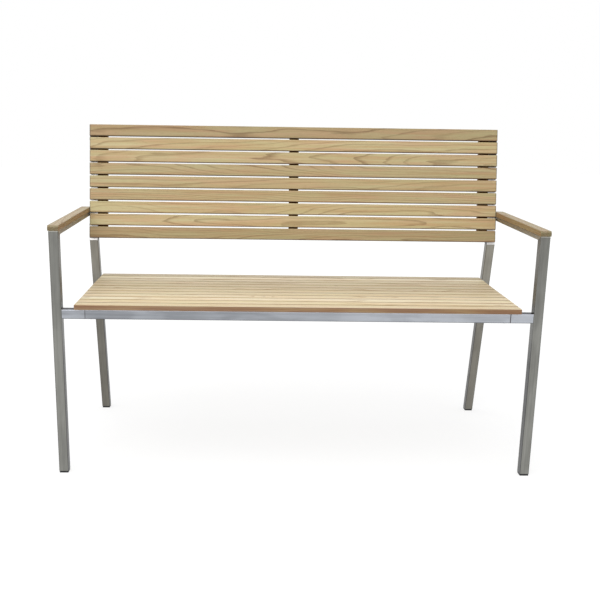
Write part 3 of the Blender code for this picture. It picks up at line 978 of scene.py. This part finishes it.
class Recipe:
    """A geometry node tree with named inputs, run once to give a plain mesh."""

    def __init__(self, name: str) -> None:
        """Make the tree with its output.

        Args:
            name: Name of the tree.
        """
        self.tree = bpy.data.node_groups.new(name, "GeometryNodeTree")
        kind = SocketKind.GEOMETRY.value
        self.tree.interface.new_socket(name="Geometry", in_out="OUTPUT", socket_type=kind)
        self.wiring = Wiring(self.tree)
        self.entry = self.wiring.node("NodeGroupInput")
        self.identifiers: dict[str, str] = {}

    def ask(self, kind: SocketKind, *names: str) -> list[Socket]:
        """Add named inputs of one kind.

        Args:
            kind: Kind of their sockets.
            names: Names of the inputs.

        Returns:
            The sockets that carry them into the tree.
        """
        for name in names:
            made = self.tree.interface.new_socket(name=name, in_out="INPUT", socket_type=kind.value)
            self.identifiers[name] = made.identifier
        return [self.entry.outputs[name] for name in names]

    def chance(self, key: Any, seed: Any, low: float, high: float) -> Socket:
        """Draw a number for each board or fastener.

        Args:
            key: Number of the board or fastener.
            seed: Seed of the draw.
            low: Lowest number.
            high: Highest number.

        Returns:
            The drawn number.
        """
        feeds = {"Min": low, "Max": high, "ID": key, "Seed": seed}
        draw = self.wiring.node("FunctionNodeRandomValue", feeds, data_type="FLOAT")
        return self.wiring.pick(draw.outputs, "Value")

    def close(self, geometry: Socket) -> None:
        """End the tree in real geometry with its finish.

        Args:
            geometry: The last geometry of the recipe.
        """
        finish, = self.ask(SocketKind.MATERIAL, "Finish")
        real = self.wiring.node("GeometryNodeRealizeInstances", {0: geometry})
        feeds = {"Geometry": real.outputs[0], "Material": finish}
        dressed = self.wiring.node("GeometryNodeSetMaterial", feeds)
        self.wiring.node("NodeGroupOutput", {0: dressed.outputs[0]})

    def run(self, name: str, values: dict[str, Any]) -> bpy.types.Object:
        """Run the tree and keep its result.

        Args:
            name: Name of the new object.
            values: Value of each named input.

        Returns:
            An object with a plain mesh at the origin.
        """
        carrier = add_object(f"{name}_carrier", bpy.data.meshes.new(f"{name}_carrier"))
        modifier = carrier.modifiers.new("recipe", "NODES")
        modifier.node_group = self.tree
        for key, value in values.items():
            modifier[self.identifiers[key]] = value
        return add_object(name, bake(carrier, name))


class BoardRecipe(Recipe):
    """A row of equal boards, each with its own tone and a slight bow of its edges."""

    SPANS = 24
    WAVES = 2.6
    WAVE_APART = 5.3

    def __init__(self) -> None:
        """Build the tree."""
        super().__init__("board_row")
        w = self.wiring
        count, seed = self.ask(SocketKind.COUNT, "Count", "Seed")
        first, pitch, size, turn = self.ask(SocketKind.VECTOR, "First Middle", "Pitch", "Board Size", "Turn")
        play, bow = self.ask(SocketKind.NUMBER, "End Play", "Edge Bow")
        line = w.node("GeometryNodeMeshLine", {"Count": count, "Start Location": first, "Offset": pitch})
        where = w.node("GeometryNodeInputPosition").outputs[0]
        index = w.node("GeometryNodeInputIndex").outputs[0]
        centred = self.store(line.outputs[0], "FLOAT_VECTOR", BOARD_CENTRE, where)
        toned = self.store(centred, "FLOAT", BOARD_TONE, self.chance(index, seed, 0.0, 1.0))
        counts = {"Vertices X": self.SPANS + 1, "Vertices Y": 2, "Vertices Z": 2}
        board = w.node("GeometryNodeMeshCube", {"Size": size, **counts}).outputs["Mesh"]
        rotation = w.node("FunctionNodeEulerToRotation", {0: turn}).outputs[0]
        feeds = {"Points": toned, "Instance": board, "Rotation": rotation}
        placed = w.node("GeometryNodeInstanceOnPoints", feeds)
        real = w.node("GeometryNodeRealizeInstances", {0: placed.outputs[0]})
        island = w.node("GeometryNodeInputMeshIsland").outputs["Island Index"]
        slip = w.join(w.times(self.chance(island, seed, -1.0, 1.0), play), 0.0, 0.0)
        wave_place = w.join(w.times(w.split(where)[0], self.WAVES), w.times(island, self.WAVE_APART), seed)
        wave = w.spread(w.noise(wave_place, 1.0)["Fac"], 2.0)
        across = w.vector("NORMALIZE", {0: pitch})
        bowed = w.vector("SCALE", {0: across, "Scale": w.times(wave, bow)})
        moved = {"Geometry": real.outputs[0], "Offset": w.added(slip, bowed)}
        self.close(w.node("GeometryNodeSetPosition", moved).outputs[0])

    def store(self, geometry: Socket, kind: str, name: str, value: Socket) -> Socket:
        """Give each point of a geometry a named value.

        Args:
            geometry: The geometry.
            kind: Blender's name of the value's type.
            name: Name of the value.
            value: The value.

        Returns:
            The geometry with the value.
        """
        feeds = {"Geometry": geometry, "Name": name, "Value": value}
        stored = self.wiring.node("GeometryNodeStoreNamedAttribute", feeds, data_type=kind, domain="POINT")
        return stored.outputs[0]


class FastenerRecipe(Recipe):
    """A grid of equal fasteners, each turned by chance about its own axis."""

    def __init__(self) -> None:
        """Build the tree."""
        super().__init__("fastener_grid")
        w = self.wiring
        columns, rows, seed = self.ask(SocketKind.COUNT, "Columns", "Rows", "Seed")
        first, aim = self.ask(SocketKind.VECTOR, "First", "Aim")
        column_step, row_step = self.ask(SocketKind.VECTOR, "Column Step", "Row Step")
        fastener, = self.ask(SocketKind.OBJECT, "Fastener")
        line = w.node("GeometryNodeMeshLine", {"Count": w.times(columns, rows)})
        index = w.node("GeometryNodeInputIndex").outputs[0]
        column = w.math("FLOOR", w.math("DIVIDE", w.plus(index, 0.5), rows))
        row = w.math("SUBTRACT", index, w.times(column, rows))
        over = w.vector("SCALE", {0: column_step, "Scale": column})
        up = w.vector("SCALE", {0: row_step, "Scale": row})
        place = w.added(first, w.added(over, up))
        points = w.node("GeometryNodeSetPosition", {"Geometry": line.outputs[0], "Position": place})
        spin = w.join(0.0, 0.0, self.chance(index, seed, 0.0, math.tau))
        own = w.node("FunctionNodeEulerToRotation", {0: spin}).outputs[0]
        feeds = {"Rotation": own, "Factor": 1.0, "Vector": aim}
        aimed = w.node("FunctionNodeAlignRotationToVector", feeds, axis="Z").outputs[0]
        source = w.node("GeometryNodeObjectInfo", {"Object": fastener}, transform_space="ORIGINAL")
        feeds = {"Points": points.outputs[0], "Instance": source.outputs["Geometry"], "Rotation": aimed}
        self.close(w.node("GeometryNodeInstanceOnPoints", feeds).outputs[0])


class WeldRecipe(Recipe):
    """A rippled bead along the edges of a path object."""

    STEPS_PER_RIPPLE = 4
    SIDES_OF_BEAD = 8

    def __init__(self) -> None:
        """Build the tree."""
        super().__init__("weld_bead")
        w = self.wiring
        path, = self.ask(SocketKind.OBJECT, "Path")
        radius, ripple = self.ask(SocketKind.NUMBER, "Bead Radius", "Ripple Length")
        seed, = self.ask(SocketKind.COUNT, "Seed")
        source = w.node("GeometryNodeObjectInfo", {"Object": path}, transform_space="ORIGINAL")
        curve = w.node("GeometryNodeMeshToCurve", {0: source.outputs["Geometry"]}).outputs[0]
        feeds = {"Curve": curve, "Length": w.times(ripple, 1 / self.STEPS_PER_RIPPLE)}
        even = w.node("GeometryNodeResampleCurve", feeds, mode="LENGTH").outputs[0]
        phase = w.math("DIVIDE", w.node("GeometryNodeSplineParameter").outputs["Length"], ripple)
        wave = w.math("ABSOLUTE", w.math("SINE", w.times(phase, math.pi)))
        where = w.node("GeometryNodeInputPosition").outputs[0]
        jitter = w.noise(w.added(w.scaled(where, (310.0,) * 3), w.join(seed, 0.0, 0.0)), 1.0)["Fac"]
        size = w.plus(w.times_plus(wave, 0.22, 0.72), w.spread(jitter, 0.4))
        feeds = {"Resolution": self.SIDES_OF_BEAD, "Radius": radius}
        ring = w.node("GeometryNodeCurvePrimitiveCircle", feeds).outputs[0]
        feeds = {"Curve": even, "Profile Curve": ring, "Scale": size, "Fill Caps": True}
        bead = w.node("GeometryNodeCurveToMesh", feeds).outputs[0]
        self.close(w.node("GeometryNodeSetShadeSmooth", {"Geometry": bead}).outputs[0])


def ease_edges(piece: bpy.types.Object, width: float, segments: int, sharp: float = math.radians(40)) -> None:
    """Round the long edges of a piece with a modifier.

    Args:
        piece: The piece.
        width: Radius in metres.
        segments: Steps round the edge.
        sharp: Smallest angle of an edge that is rounded, in radians.
    """
    piece.data.shade_smooth()
    bevel = piece.modifiers.new("eased_edges", "BEVEL")
    bevel.width = width
    bevel.segments = segments
    bevel.limit_method = "ANGLE"
    bevel.angle_limit = sharp
    bevel.harden_normals = True


@dataclass
class SlatRow:
    """A row of teak slats: the seat or the back."""

    name: str
    nodes: list[str]
    board_size: Vector
    seed: int
    finish: BoardFinish
    edge_radius: float
    edge_steps: int = 3
    end_play: float = 0.0004
    edge_bow: float = 0.0001

    def build(self, recipe: BoardRecipe, effects: Effects) -> bpy.types.Object:
        """Build the row where its CAD nodes are.

        Args:
            recipe: The board recipe.
            effects: The shared shader groups.

        Returns:
            The finished row.
        """
        first = middle(self.nodes[0])
        pitch = (middle(self.nodes[-1]) - first) / (len(self.nodes) - 1)
        row = recipe.run(self.name, {
            "Count": len(self.nodes),
            "First Middle": first,
            "Pitch": pitch,
            "Board Size": self.board_size - Vector((2 * self.end_play, 2 * self.edge_bow, 0.0)),
            "Turn": Vector((math.atan2(pitch.z, pitch.y), 0.0, 0.0)),
            "End Play": self.end_play,
            "Edge Bow": self.edge_bow,
            "Seed": self.seed,
            "Finish": self.finish.material(effects),
        })
        ease_edges(row, self.edge_radius, self.edge_steps)
        hand_over(row, self.finish.name, *self.nodes)
        return row


@dataclass
class Armrest:
    """A teak armrest, notched round its back post."""

    side: str
    tone: float
    finish: bpy.types.Material
    lean: float
    edge_radius: float = 0.0026
    edge_steps: int = 4
    clearance: float = 0.0003
    spans: int = 8
    nose: float = 0.0042

    def build(self) -> bpy.types.Object:
        """Build the armrest in the place of its CAD node.

        Returns:
            The finished armrest.
        """
        low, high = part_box(f"armrest_{self.side}")
        post_low, post_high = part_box(f"back_post_{self.side}")
        inner, outer, post_side = low.x, high.x, post_high.x + self.clearance
        if self.side == "left":
            inner, outer, post_side = high.x, low.x, post_low.x - self.clearance
        bm = bmesh.new()
        rings = []
        for z, back in ((low.z, 0.0), (high.z - self.nose, 0.0), (high.z, self.nose)):
            notch_y = self.post_face(z) - self.clearance
            front_y = low.y + back
            steps = [front_y + (notch_y - front_y) * i / self.spans for i in range(self.spans + 1)]
            ring = [(inner, y) for y in steps]
            ring += [(post_side, notch_y), (post_side, high.y), (outer, high.y)]
            ring += [(outer, y) for y in reversed(steps)]
            rings.append([bm.verts.new((x, y, z)) for x, y in ring])
        for under, over in zip(rings, rings[1:]):
            for i in range(len(under)):
                j = (i + 1) % len(under)
                bm.faces.new((under[i], under[j], over[j], over[i]))
        bm.faces.new(rings[0])
        bm.faces.new(rings[-1])
        mesh = close_mesh(bm, f"teak_armrest_{self.side}")
        mesh.materials.append(self.finish)
        self.tag(mesh, (low + high) / 2)
        piece = add_object(mesh.name, mesh)
        ease_edges(piece, self.edge_radius, self.edge_steps)
        hand_over(piece, "arm_teak", f"armrest_{self.side}")
        return piece

    def post_face(self, height: float) -> float:
        """Find the post's front face at a height.

        Args:
            height: Height above the floor in metres.

        Returns:
            Where the face lies along Y.
        """
        low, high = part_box(f"back_post_{self.side}")
        top_front = high.y - (high.x - low.x) / math.cos(self.lean)
        return top_front - (high.z - height) * math.tan(self.lean)

    def tag(self, mesh: bpy.types.Mesh, centre: Vector) -> None:
        """Store the board's tone and middle for its finish.

        Args:
            mesh: The armrest's mesh.
            centre: Middle of the board.
        """
        tones = mesh.attributes.new(BOARD_TONE, "FLOAT", "POINT")
        tones.data.foreach_set("value", [self.tone] * len(mesh.vertices))
        centres = mesh.attributes.new(BOARD_CENTRE, "FLOAT_VECTOR", "POINT")
        centres.data.foreach_set("vector", list(centre) * len(mesh.vertices))


@dataclass
class WoodScrews:
    """Pan head screws that hold the slats and armrests."""

    lean: float
    head_radius: float = 0.0036
    head_height: float = 0.0020
    recess_radius: float = 0.0019
    recess_depth: float = 0.0012
    blade: float = 0.0005
    overshoot: float = 0.0005
    steps: int = 20
    sharp: float = math.radians(35)
    rails: int = 3
    arms: int = 2
    arm_margin: float = 0.05
    arm_rows: int = 4
    PROFILE = ((0.0, 1.0), (0.45, 0.97), (0.75, 0.84), (0.93, 0.60), (1.0, 0.30), (1.0, 0.0), (0.0, 0.0))

    def prototype(self) -> bpy.types.Object:
        """Build one head with a cross recess, its seat at the origin and its top towards +Z.

        Returns:
            The head as an object that the recipe reads.
        """
        bm = bmesh.new()
        points = [bm.verts.new((r * self.head_radius, 0.0, h * self.head_height)) for r, h in self.PROFILE]
        edges = [bm.edges.new(pair) for pair in zip(points, points[1:])]
        whole_turn = {"axis": (0, 0, 1), "cent": (0, 0, 0), "angle": math.tau, "use_merge": True}
        bmesh.ops.spin(bm, geom=points + edges, steps=self.steps, **whole_turn)
        bmesh.ops.remove_doubles(bm, verts=bm.verts, dist=1e-6)
        head = add_object("screw_head", close_mesh(bm, "screw_head"))
        cutters = [self.blade_cutter(turn) for turn in (0.0, math.pi / 2)]
        for cutter in cutters:
            modifier = head.modifiers.new("recess", "BOOLEAN")
            modifier.operation = "DIFFERENCE"
            modifier.solver = "EXACT"
            modifier.object = cutter
        cut = bake(head, "screw_head_cut")
        for cutter in cutters:
            bpy.data.objects.remove(cutter)
        cut.shade_smooth()
        cut.set_sharp_from_angle(angle=self.sharp)
        return add_object(cut.name, cut)

    def blade_cutter(self, turn: float) -> bpy.types.Object:
        """Build one blade of the cross recess.

        Args:
            turn: Angle about the screw's axis in radians.

        Returns:
            The cutter object.
        """
        top = self.head_height + self.overshoot
        bottom = self.head_height - self.recess_depth
        size = Matrix.Diagonal((2 * self.recess_radius, 2 * self.blade, top - bottom, 1.0))
        lift = Matrix.Translation((0.0, 0.0, (top + bottom) / 2))
        bm = bmesh.new()
        bmesh.ops.create_cube(bm, size=1.0, matrix=Matrix.Rotation(turn, 4, "Z") @ lift @ size)
        return add_object("blade", close_mesh(bm, "blade"))

    def build(self, finish: bpy.types.Material) -> None:
        """Build every group of screws.

        Args:
            finish: Finish of the screws.
        """
        recipe = FastenerRecipe()
        head = self.prototype()
        for name, grid in self.grids().items():
            values = {**grid, "Fastener": head, "Seed": len(name), "Finish": finish}
            hand_over(recipe.run(name, values), "fastener")
        bpy.data.objects.remove(head)

    def grids(self) -> dict[str, dict[str, Any]]:
        """Work out where the screws sit.

        Returns:
            For each group of screws, the inputs of the recipe that place it.
        """
        down = Vector((0.0, 0.0, -1.0))
        rear = Vector((0.0, math.cos(self.lean), -math.sin(self.lean)))
        seat, back = row_of("seat_slat_"), row_of("back_slat_")
        seat_first, back_first = middle(seat[0]), middle(back[0])
        rail_low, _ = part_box("seat_centre_rail")
        end_x = middle("seat_end_rail_left").x
        batten_x = middle("back_batten_left").x
        arm_low, arm_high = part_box("arm_tube_left")
        arm_x = middle("arm_tube_left").x
        arm_step = (arm_high.y - arm_low.y - 2 * self.arm_margin) / (self.arm_rows - 1)
        behind = rear * self.batten_depth(back_first, rear)
        return {
            "seat_screws": {
                "Columns": self.rails,
                "Rows": len(seat),
                "First": Vector((end_x, seat_first.y, rail_low.z)),
                "Column Step": Vector((-end_x, 0.0, 0.0)),
                "Row Step": middle(seat[1]) - seat_first,
                "Aim": down,
            },
            "back_screws": {
                "Columns": self.rails,
                "Rows": len(back),
                "First": Vector((batten_x, back_first.y, back_first.z)) + behind,
                "Column Step": Vector((-batten_x, 0.0, 0.0)),
                "Row Step": middle(back[1]) - back_first,
                "Aim": rear,
            },
            "arm_screws": {
                "Columns": self.arms,
                "Rows": self.arm_rows,
                "First": Vector((arm_x, arm_low.y + self.arm_margin, arm_low.z)),
                "Column Step": Vector((-2 * arm_x, 0.0, 0.0)),
                "Row Step": Vector((0.0, arm_step, 0.0)),
                "Aim": down,
            },
        }

    @staticmethod
    def batten_depth(slat: Vector, rear: Vector) -> float:
        """Return how far the battens' rear face lies behind a slat's middle."""
        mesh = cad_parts["back_batten_centre"].data
        return max((vertex.co - slat).dot(rear) for vertex in mesh.vertices)


@dataclass
class Welds:
    """Rippled beads round the ends of the seat stubs, where they meet the legs."""

    radius: float = 0.0011
    ripple: float = 0.0016
    inset: float = 0.0012
    seed: int = 5

    def loop(self, stem: str, side: str) -> list[Vector]:
        """Work out the path of the bead round one stub.

        Args:
            stem: Name of the pair of stubs.
            side: Side of the bench.

        Returns:
            The corners of the closed path.
        """
        low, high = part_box(f"{stem}_{side}")
        x = low.x if side == "left" else high.x
        ends = ((low.y, low.z), (high.y, low.z), (high.y, high.z), (low.y, high.z))
        corners = [Vector((x, y, z)) for y, z in ends]
        centre = sum(corners, Vector()) / len(corners)
        return [corner + (centre - corner).normalized() * self.inset for corner in corners]

    def build(self, finish: bpy.types.Material) -> bpy.types.Object:
        """Build all beads as one piece.

        Args:
            finish: Finish of the beads.

        Returns:
            The finished piece.
        """
        points: list[Vector] = []
        edges: list[tuple[int, int]] = []
        for stem in ("front_stub", "rear_stub"):
            for side in SIDES:
                loop = self.loop(stem, side)
                start = len(points)
                points += loop
                edges += [(start + i, start + (i + 1) % len(loop)) for i in range(len(loop))]
        mesh = bpy.data.meshes.new("weld_paths")
        mesh.from_pydata(points, edges, [])
        path = add_object("weld_paths", mesh)
        values = {"Path": path, "Bead Radius": self.radius, "Ripple Length": self.ripple, "Seed": self.seed}
        beads = WeldRecipe().run("weld_beads", {**values, "Finish": finish})
        bpy.data.objects.remove(path)
        hand_over(beads, "brushed_tube")
        return beads


@dataclass
class SteelFrame:
    """The tubes, sleeves and bolts, which stay as the CAD gives them and get their finishes."""

    lean: float
    # Depth of the painted highlight at the top of the front legs.
    top_highlight_depth: float = 0.0022
    # Lit and shaded copies of one brushed steel: each set paints the light and reflection that its tubes get.
    UPRIGHT = {"dark": (112, 112, 108), "bright": (142, 142, 137)}
    SHADED = {"dark": (116, 113, 106), "bright": (145, 142, 133)}
    UNDER_ARM = {"dark": (149, 145, 137), "bright": (176, 172, 163)}
    FLAT = {"dark": (138, 141, 146), "bright": (181, 185, 192)}

    def finishes(self) -> list[tuple[Finish, list[str]]]:
        """Pair each finish of the frame with the nodes that wear it.

        Returns:
            The pairs.
        """
        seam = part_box("seat_front_rail")[1].x - middle("seat_front_rail").x
        leg_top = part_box("front_leg_left")[1].z
        leg = BrushedFinish(
            "leg_steel", GrainRun.ALONG_Z, 0.0, **self.UPRIGHT, side_shade_share=0.68, side_shade_above=0.18,
            edge_shade_line=0.38, low_shade=1.13, high_shade=0.92, top_highlight_from=leg_top - self.top_highlight_depth,
        )
        arm = BrushedFinish("arm_steel", GrainRun.ALONG_Y, 0.0, **self.UNDER_ARM, corner=0.2)
        rear_leg = BrushedFinish(
            "rear_leg_steel", GrainRun.ALONG_Z, -self.lean, **self.SHADED, side_shade_share=0.62, side_shade_above=0.5,
            edge_shade_line=0.35, low_shade=0.88, low_sideways=0.18, high_shade=1.25,
        )
        post = PostFinish("back_post_steel", GrainRun.ALONG_Z, self.lean, **self.UPRIGHT, side_shade_share=0.75)
        rail = BrushedFinish(
            "rail_steel", GrainRun.ALONG_X, 0.0, **self.FLAT, top_reflection_share=0.97, corner=0.9, edge_shade_line=0.35,
            under_shade_line=0.80, right_light_gain=0.55, blotch=0.40, seam_x=seam,
        )
        end_rail = BrushedFinish("end_rail_steel", GrainRun.ALONG_Y, 0.0, **self.FLAT)
        sleeve = PlainMetalFinish("sleeve_steel", (120, 120, 122), (158, 158, 160))
        return [
            (leg, both("front_leg")),
            (arm, both("arm_tube")),
            (rear_leg, both("rear_leg")),
            (post, both("back_post")),
            (rail, both("front_stub", "rear_stub") + ["seat_front_rail", "seat_rear_rail"]),
            (end_rail, both("seat_end_rail") + ["seat_centre_rail"]),
            (sleeve, both("front_sleeve", "rear_sleeve")),
        ]

    def dress(self, effects: Effects, fastener: bpy.types.Material) -> None:
        """Put the finishes on the steel parts.

        Args:
            effects: The shared shader groups.
            fastener: Finish of the bolts and the screws of the rails.
        """
        for finish, nodes in self.finishes():
            dress_nodes(nodes, finish.material(effects))
        dress_nodes(both("front_seat_screw", "rear_seat_screw"), fastener)
        dress_nodes(both("lower_back_bolt", "upper_back_bolt"), fastener)


@dataclass(frozen=True)
class Softbox:
    """One rectangular studio lamp."""

    name: str
    place: tuple[float, float, float]
    aim: tuple[float, float, float]
    width: float
    height: float
    power: float

    def build(self) -> None:
        """Add the lamp to the scene."""
        data = bpy.data.lights.new(self.name, "AREA")
        data.shape = "RECTANGLE"
        data.size = self.width
        data.size_y = self.height
        data.energy = self.power
        lamp = add_object(self.name, data)
        lamp.location = self.place
        lamp.rotation_euler = (Vector(self.aim) - Vector(self.place)).to_track_quat("-Z", "Y").to_euler()


@dataclass
class Studio:
    """Camera, floor, lamps and surroundings."""

    lens: float = 51.506
    sensor: float = 36.0
    shift: tuple[float, float] = (0.0526, 0.0395)
    camera_place: tuple[float, float, float] = (-0.1178, -2.4467, 0.9590)
    pitch: float = math.radians(13.891)
    yaw: float = math.radians(1.035)
    roll: float = math.radians(0.817)
    fill: float = 0.62
    floor_size: float = 24.0
    floor_white: Colour = (0.50, 0.50, 0.49, 1.0)
    paper_dark: Tint = (0.30, 0.30, 0.30)
    paper_light: Tint = (0.32, 0.32, 0.32)

    def add_camera(self) -> None:
        """Add the camera that sees the bench as the photograph does."""
        data = bpy.data.cameras.new("studio_camera")
        data.lens = self.lens
        data.sensor_width = self.sensor
        data.shift_x, data.shift_y = self.shift
        data.dof.use_dof = False
        level = math.cos(self.pitch)
        forward = Vector((math.sin(self.yaw) * level, math.cos(self.yaw) * level, -math.sin(self.pitch)))
        flat_right = Vector((math.cos(self.yaw), -math.sin(self.yaw), 0.0))
        flat_up = flat_right.cross(forward)
        right = math.cos(self.roll) * flat_right + math.sin(self.roll) * flat_up
        up = math.cos(self.roll) * flat_up - math.sin(self.roll) * flat_right
        turn = Matrix((right, up, -forward)).transposed().to_4x4()
        camera = add_object("studio_camera", data)
        camera.matrix_world = Matrix.Translation(self.camera_place) @ turn
        bpy.context.scene.camera = camera

    @staticmethod
    def seen_plainly(w: Wiring) -> Socket:
        """Tell the rays that show the background itself from the others.

        Args:
            w: Wiring of the tree.

        Returns:
            1 for camera, glossy and transmission rays, else 0.
        """
        path = w.node("ShaderNodeLightPath").outputs
        seen = [path[f"Is {kind} Ray"] for kind in ("Camera", "Glossy", "Transmission")]
        return reduce(lambda first, second: w.math("MAXIMUM", first, second), seen)

    def add_floor(self) -> None:
        """Add the pale floor, which shows white and keeps a soft shadow."""
        mesh = bpy.data.meshes.new("studio_floor")
        half = self.floor_size / 2
        corners = [(-half, -half, 0), (half, -half, 0), (half, half, 0), (-half, half, 0)]
        mesh.from_pydata(corners, [], [(0, 1, 2, 3)])
        floor = add_object("studio_floor", mesh)
        material = bpy.data.materials.new("studio_paper")
        w = empty_tree(material)
        here = w.here()
        tooth = w.noise(w.scaled(here, (60.0,) * 3), 3.0)["Fac"]
        paper = w.blend(tooth, self.paper_dark, self.paper_light)
        shown = w.node("ShaderNodeBsdfDiffuse", {"Color": paper})
        away = w.node("ShaderNodeVectorMath", {0: here}, operation="LENGTH").outputs["Value"]
        glow = w.node("ShaderNodeEmission", {"Color": WHITE, "Strength": w.step(away, 1.0, 3.5, 0.78, 0.88)})
        lit = w.node("ShaderNodeAddShader", {0: shown.outputs[0], 1: glow.outputs[0]})
        real = w.node("ShaderNodeBsdfDiffuse", {"Color": self.floor_white})
        plain = self.seen_plainly(w)
        mixed = w.node("ShaderNodeMixShader", {0: plain, 1: real.outputs[0], 2: lit.outputs[0]})
        below = w.node("ShaderNodeNewGeometry").outputs["Backfacing"]
        clear = w.node("ShaderNodeBsdfTransparent")
        one_way = w.node("ShaderNodeMixShader", {0: below, 1: mixed.outputs[0], 2: clear.outputs[0]})
        w.node("ShaderNodeOutputMaterial", {"Surface": one_way.outputs[0]})
        mesh.materials.append(material)

    def add_surroundings(self) -> None:
        """Fill the scene with soft white light and show white behind the bench."""
        world = bpy.data.worlds.new("studio_world")
        bpy.context.scene.world = world
        w = empty_tree(world)
        strength = w.times_plus(self.seen_plainly(w), 1.0 - self.fill, self.fill)
        sky = w.node("ShaderNodeBackground", {"Color": WHITE, "Strength": strength})
        w.node("ShaderNodeOutputWorld", {"Surface": sky.outputs[0]})

    def build(self) -> None:
        """Set up the whole studio."""
        bpy.context.scene.view_settings.view_transform = "Standard"
        self.add_camera()
        self.add_floor()
        self.add_surroundings()
        lamps = (
            Softbox("overhead_softbox", (-0.5, -0.9, 3.4), (0.0, -0.1, 0.4), 3.2, 2.6, 52.0),
            Softbox("front_softbox", (-1.6, -3.6, 2.2), (0.0, 0.0, 0.5), 1.6, 1.6, 22.0),
        )
        for lamp in lamps:
            lamp.build()
        LOG.info("studio: camera, floor and %d lamps", len(lamps))


@dataclass
class GardenBench:
    """The whole bench, put together from its sub-assemblies."""

    seat_seed: int = 10473
    back_seed: int = 93835
    seat_edge: float = 0.0010
    back_edge: float = 0.0014
    open_margin: float = 0.0020
    arm_tones: tuple[float, float] = (0.36, 0.34)

    def lean_of_back(self) -> float:
        """Measure how far the back and the rear legs lean.

        Returns:
            The angle from upright in radians.
        """
        slats = row_of("back_slat_")
        pitch = middle(slats[-1]) - middle(slats[0])
        return math.atan2(pitch.y, pitch.z)

    def back_board_size(self, lean: float) -> Vector:
        """Work out a back slat's own size from its leaning box.

        Args:
            lean: How far the back leans.

        Returns:
            Length, width and thickness.
        """
        low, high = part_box("back_slat_5")
        size = high - low
        sine, cosine = math.sin(lean), math.cos(lean)
        width = (size.z * cosine - size.y * sine) / (cosine ** 2 - sine ** 2)
        thickness = (size.y * cosine - size.z * sine) / (cosine ** 2 - sine ** 2)
        return Vector((size.x, width, thickness))

    def build_seat(self, boards: BoardRecipe, effects: Effects) -> None:
        """Build the seat's row of slats.

        Args:
            boards: The board recipe.
            effects: The shared shader groups.
        """
        nodes = row_of("seat_slat_")
        low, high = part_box(nodes[0])
        # Painted light: the seat's colours and level are a lit copy of the same teak as the back and armrests.
        finish = BoardFinish(
            "seat_teak", GrainRun.ALONG_X, 0.0, pale=(224, 217, 195), warm=(212, 189, 147),
            line=(156, 124, 84), green=(219, 213, 172), pink=(220, 198, 168), half_width=(high.y - low.y) / 2,
            narrow_grain_and_shade=(0.42, 0.32, 0.24), rim_shade_tint=(0.86, 0.80, 0.75), open_before=low.y + self.open_margin,
            open_after=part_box(nodes[-1])[1].y - self.open_margin, low_level=0.86, level_span=0.30, rear_shade=-0.50,
            rear_shade_from=middle(nodes[len(nodes) // 2]).y, streak_depth=0.9,
        )
        row = SlatRow("seat_slats", nodes, high - low, self.seat_seed, finish, self.seat_edge)
        row.build(boards, effects)

    def build_back(self, boards: BoardRecipe, effects: Effects, lean: float) -> None:
        """Build the back's row of slats and dress the battens behind it.

        Args:
            boards: The board recipe.
            effects: The shared shader groups.
            lean: How far the back leans.
        """
        size = self.back_board_size(lean)
        # Painted shade: the back's colours and level are a shaded copy of the same teak as the seat.
        finish = BoardFinish(
            "back_teak", GrainRun.ALONG_X, lean - math.pi / 2, pale=(209, 194, 150), warm=(197, 168, 122),
            line=(136, 106, 72), green=(202, 193, 144), pink=(207, 168, 130), half_width=size.y / 2,
            narrow_grain_and_shade=(0.20, 0.16, 0.14), half_length=size.x / 2, upper_highlight_tint=(1.05, 0.93, 0.68),
            low_level=0.75, level_span=0.30, ring_spacing=0.0045,
        )
        nodes = row_of("back_slat_")
        row = SlatRow("back_slats", nodes, size, self.back_seed, finish, self.back_edge)
        row.build(boards, effects)
        batten = HardwoodFinish("batten_hardwood", GrainRun.ALONG_Z, lean, (76, 38, 4), (100, 54, 14))
        dress_nodes(both("back_batten") + ["back_batten_centre"], batten.material(effects))

    def build_armrests(self, effects: Effects, lean: float) -> None:
        """Build both armrests.

        Args:
            effects: The shared shader groups.
            lean: How far the back leans.
        """
        low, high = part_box("armrest_left")
        # Painted shade: the armrests' colours and level are a shaded copy of the same teak as the seat.
        finish = BoardFinish(
            "arm_teak", GrainRun.ALONG_Y, 0.0, pale=(202, 191, 160), warm=(182, 158, 122), line=(128, 98, 66),
            green=(190, 184, 146), pink=(196, 170, 142), half_width=(high.x - low.x) / 2,
            narrow_grain_and_shade=(0.88, 0.74, 0.60), end_tint=(0.66, 0.66, 0.58), rim_shade_tint=(0.72, 0.72, 0.76),
            low_level=0.75, level_span=0.20,
        )
        material = finish.material(effects)
        for side, tone in zip(SIDES, self.arm_tones):
            Armrest(side, tone, material, lean).build()

    def build(self) -> None:
        """Build and dress every part of the bench."""
        effects = Effects(WoodFigure(), BrushMarks(), SurfaceSoil())
        lean = self.lean_of_back()
        boards = BoardRecipe()
        self.build_seat(boards, effects)
        self.build_back(boards, effects, lean)
        self.build_armrests(effects, lean)
        fastener_finish = PlainMetalFinish("fastener_steel", (150, 150, 148), (196, 196, 192), 0.32)
        fastener = fastener_finish.material(effects)
        SteelFrame(lean).dress(effects, fastener)
        WoodScrews(lean).build(fastener)
        bead = PlainMetalFinish("weld_steel", (128, 126, 122), (176, 176, 174), 0.36, 900.0)
        Welds().build(bead.material(effects))
        glide = MouldedFinish("glide_plastic", (15, 15, 17), (70, 69, 66))
        dress_nodes(both("front_glide", "rear_glide"), glide.material(effects))


def main() -> None:
    """Build the studio and the bench, and report each piece."""
    logging.basicConfig(level=logging.INFO, format="%(name)s: %(message)s")
    Studio().build()
    GardenBench().build()


if __name__ == "__main__":
    main()
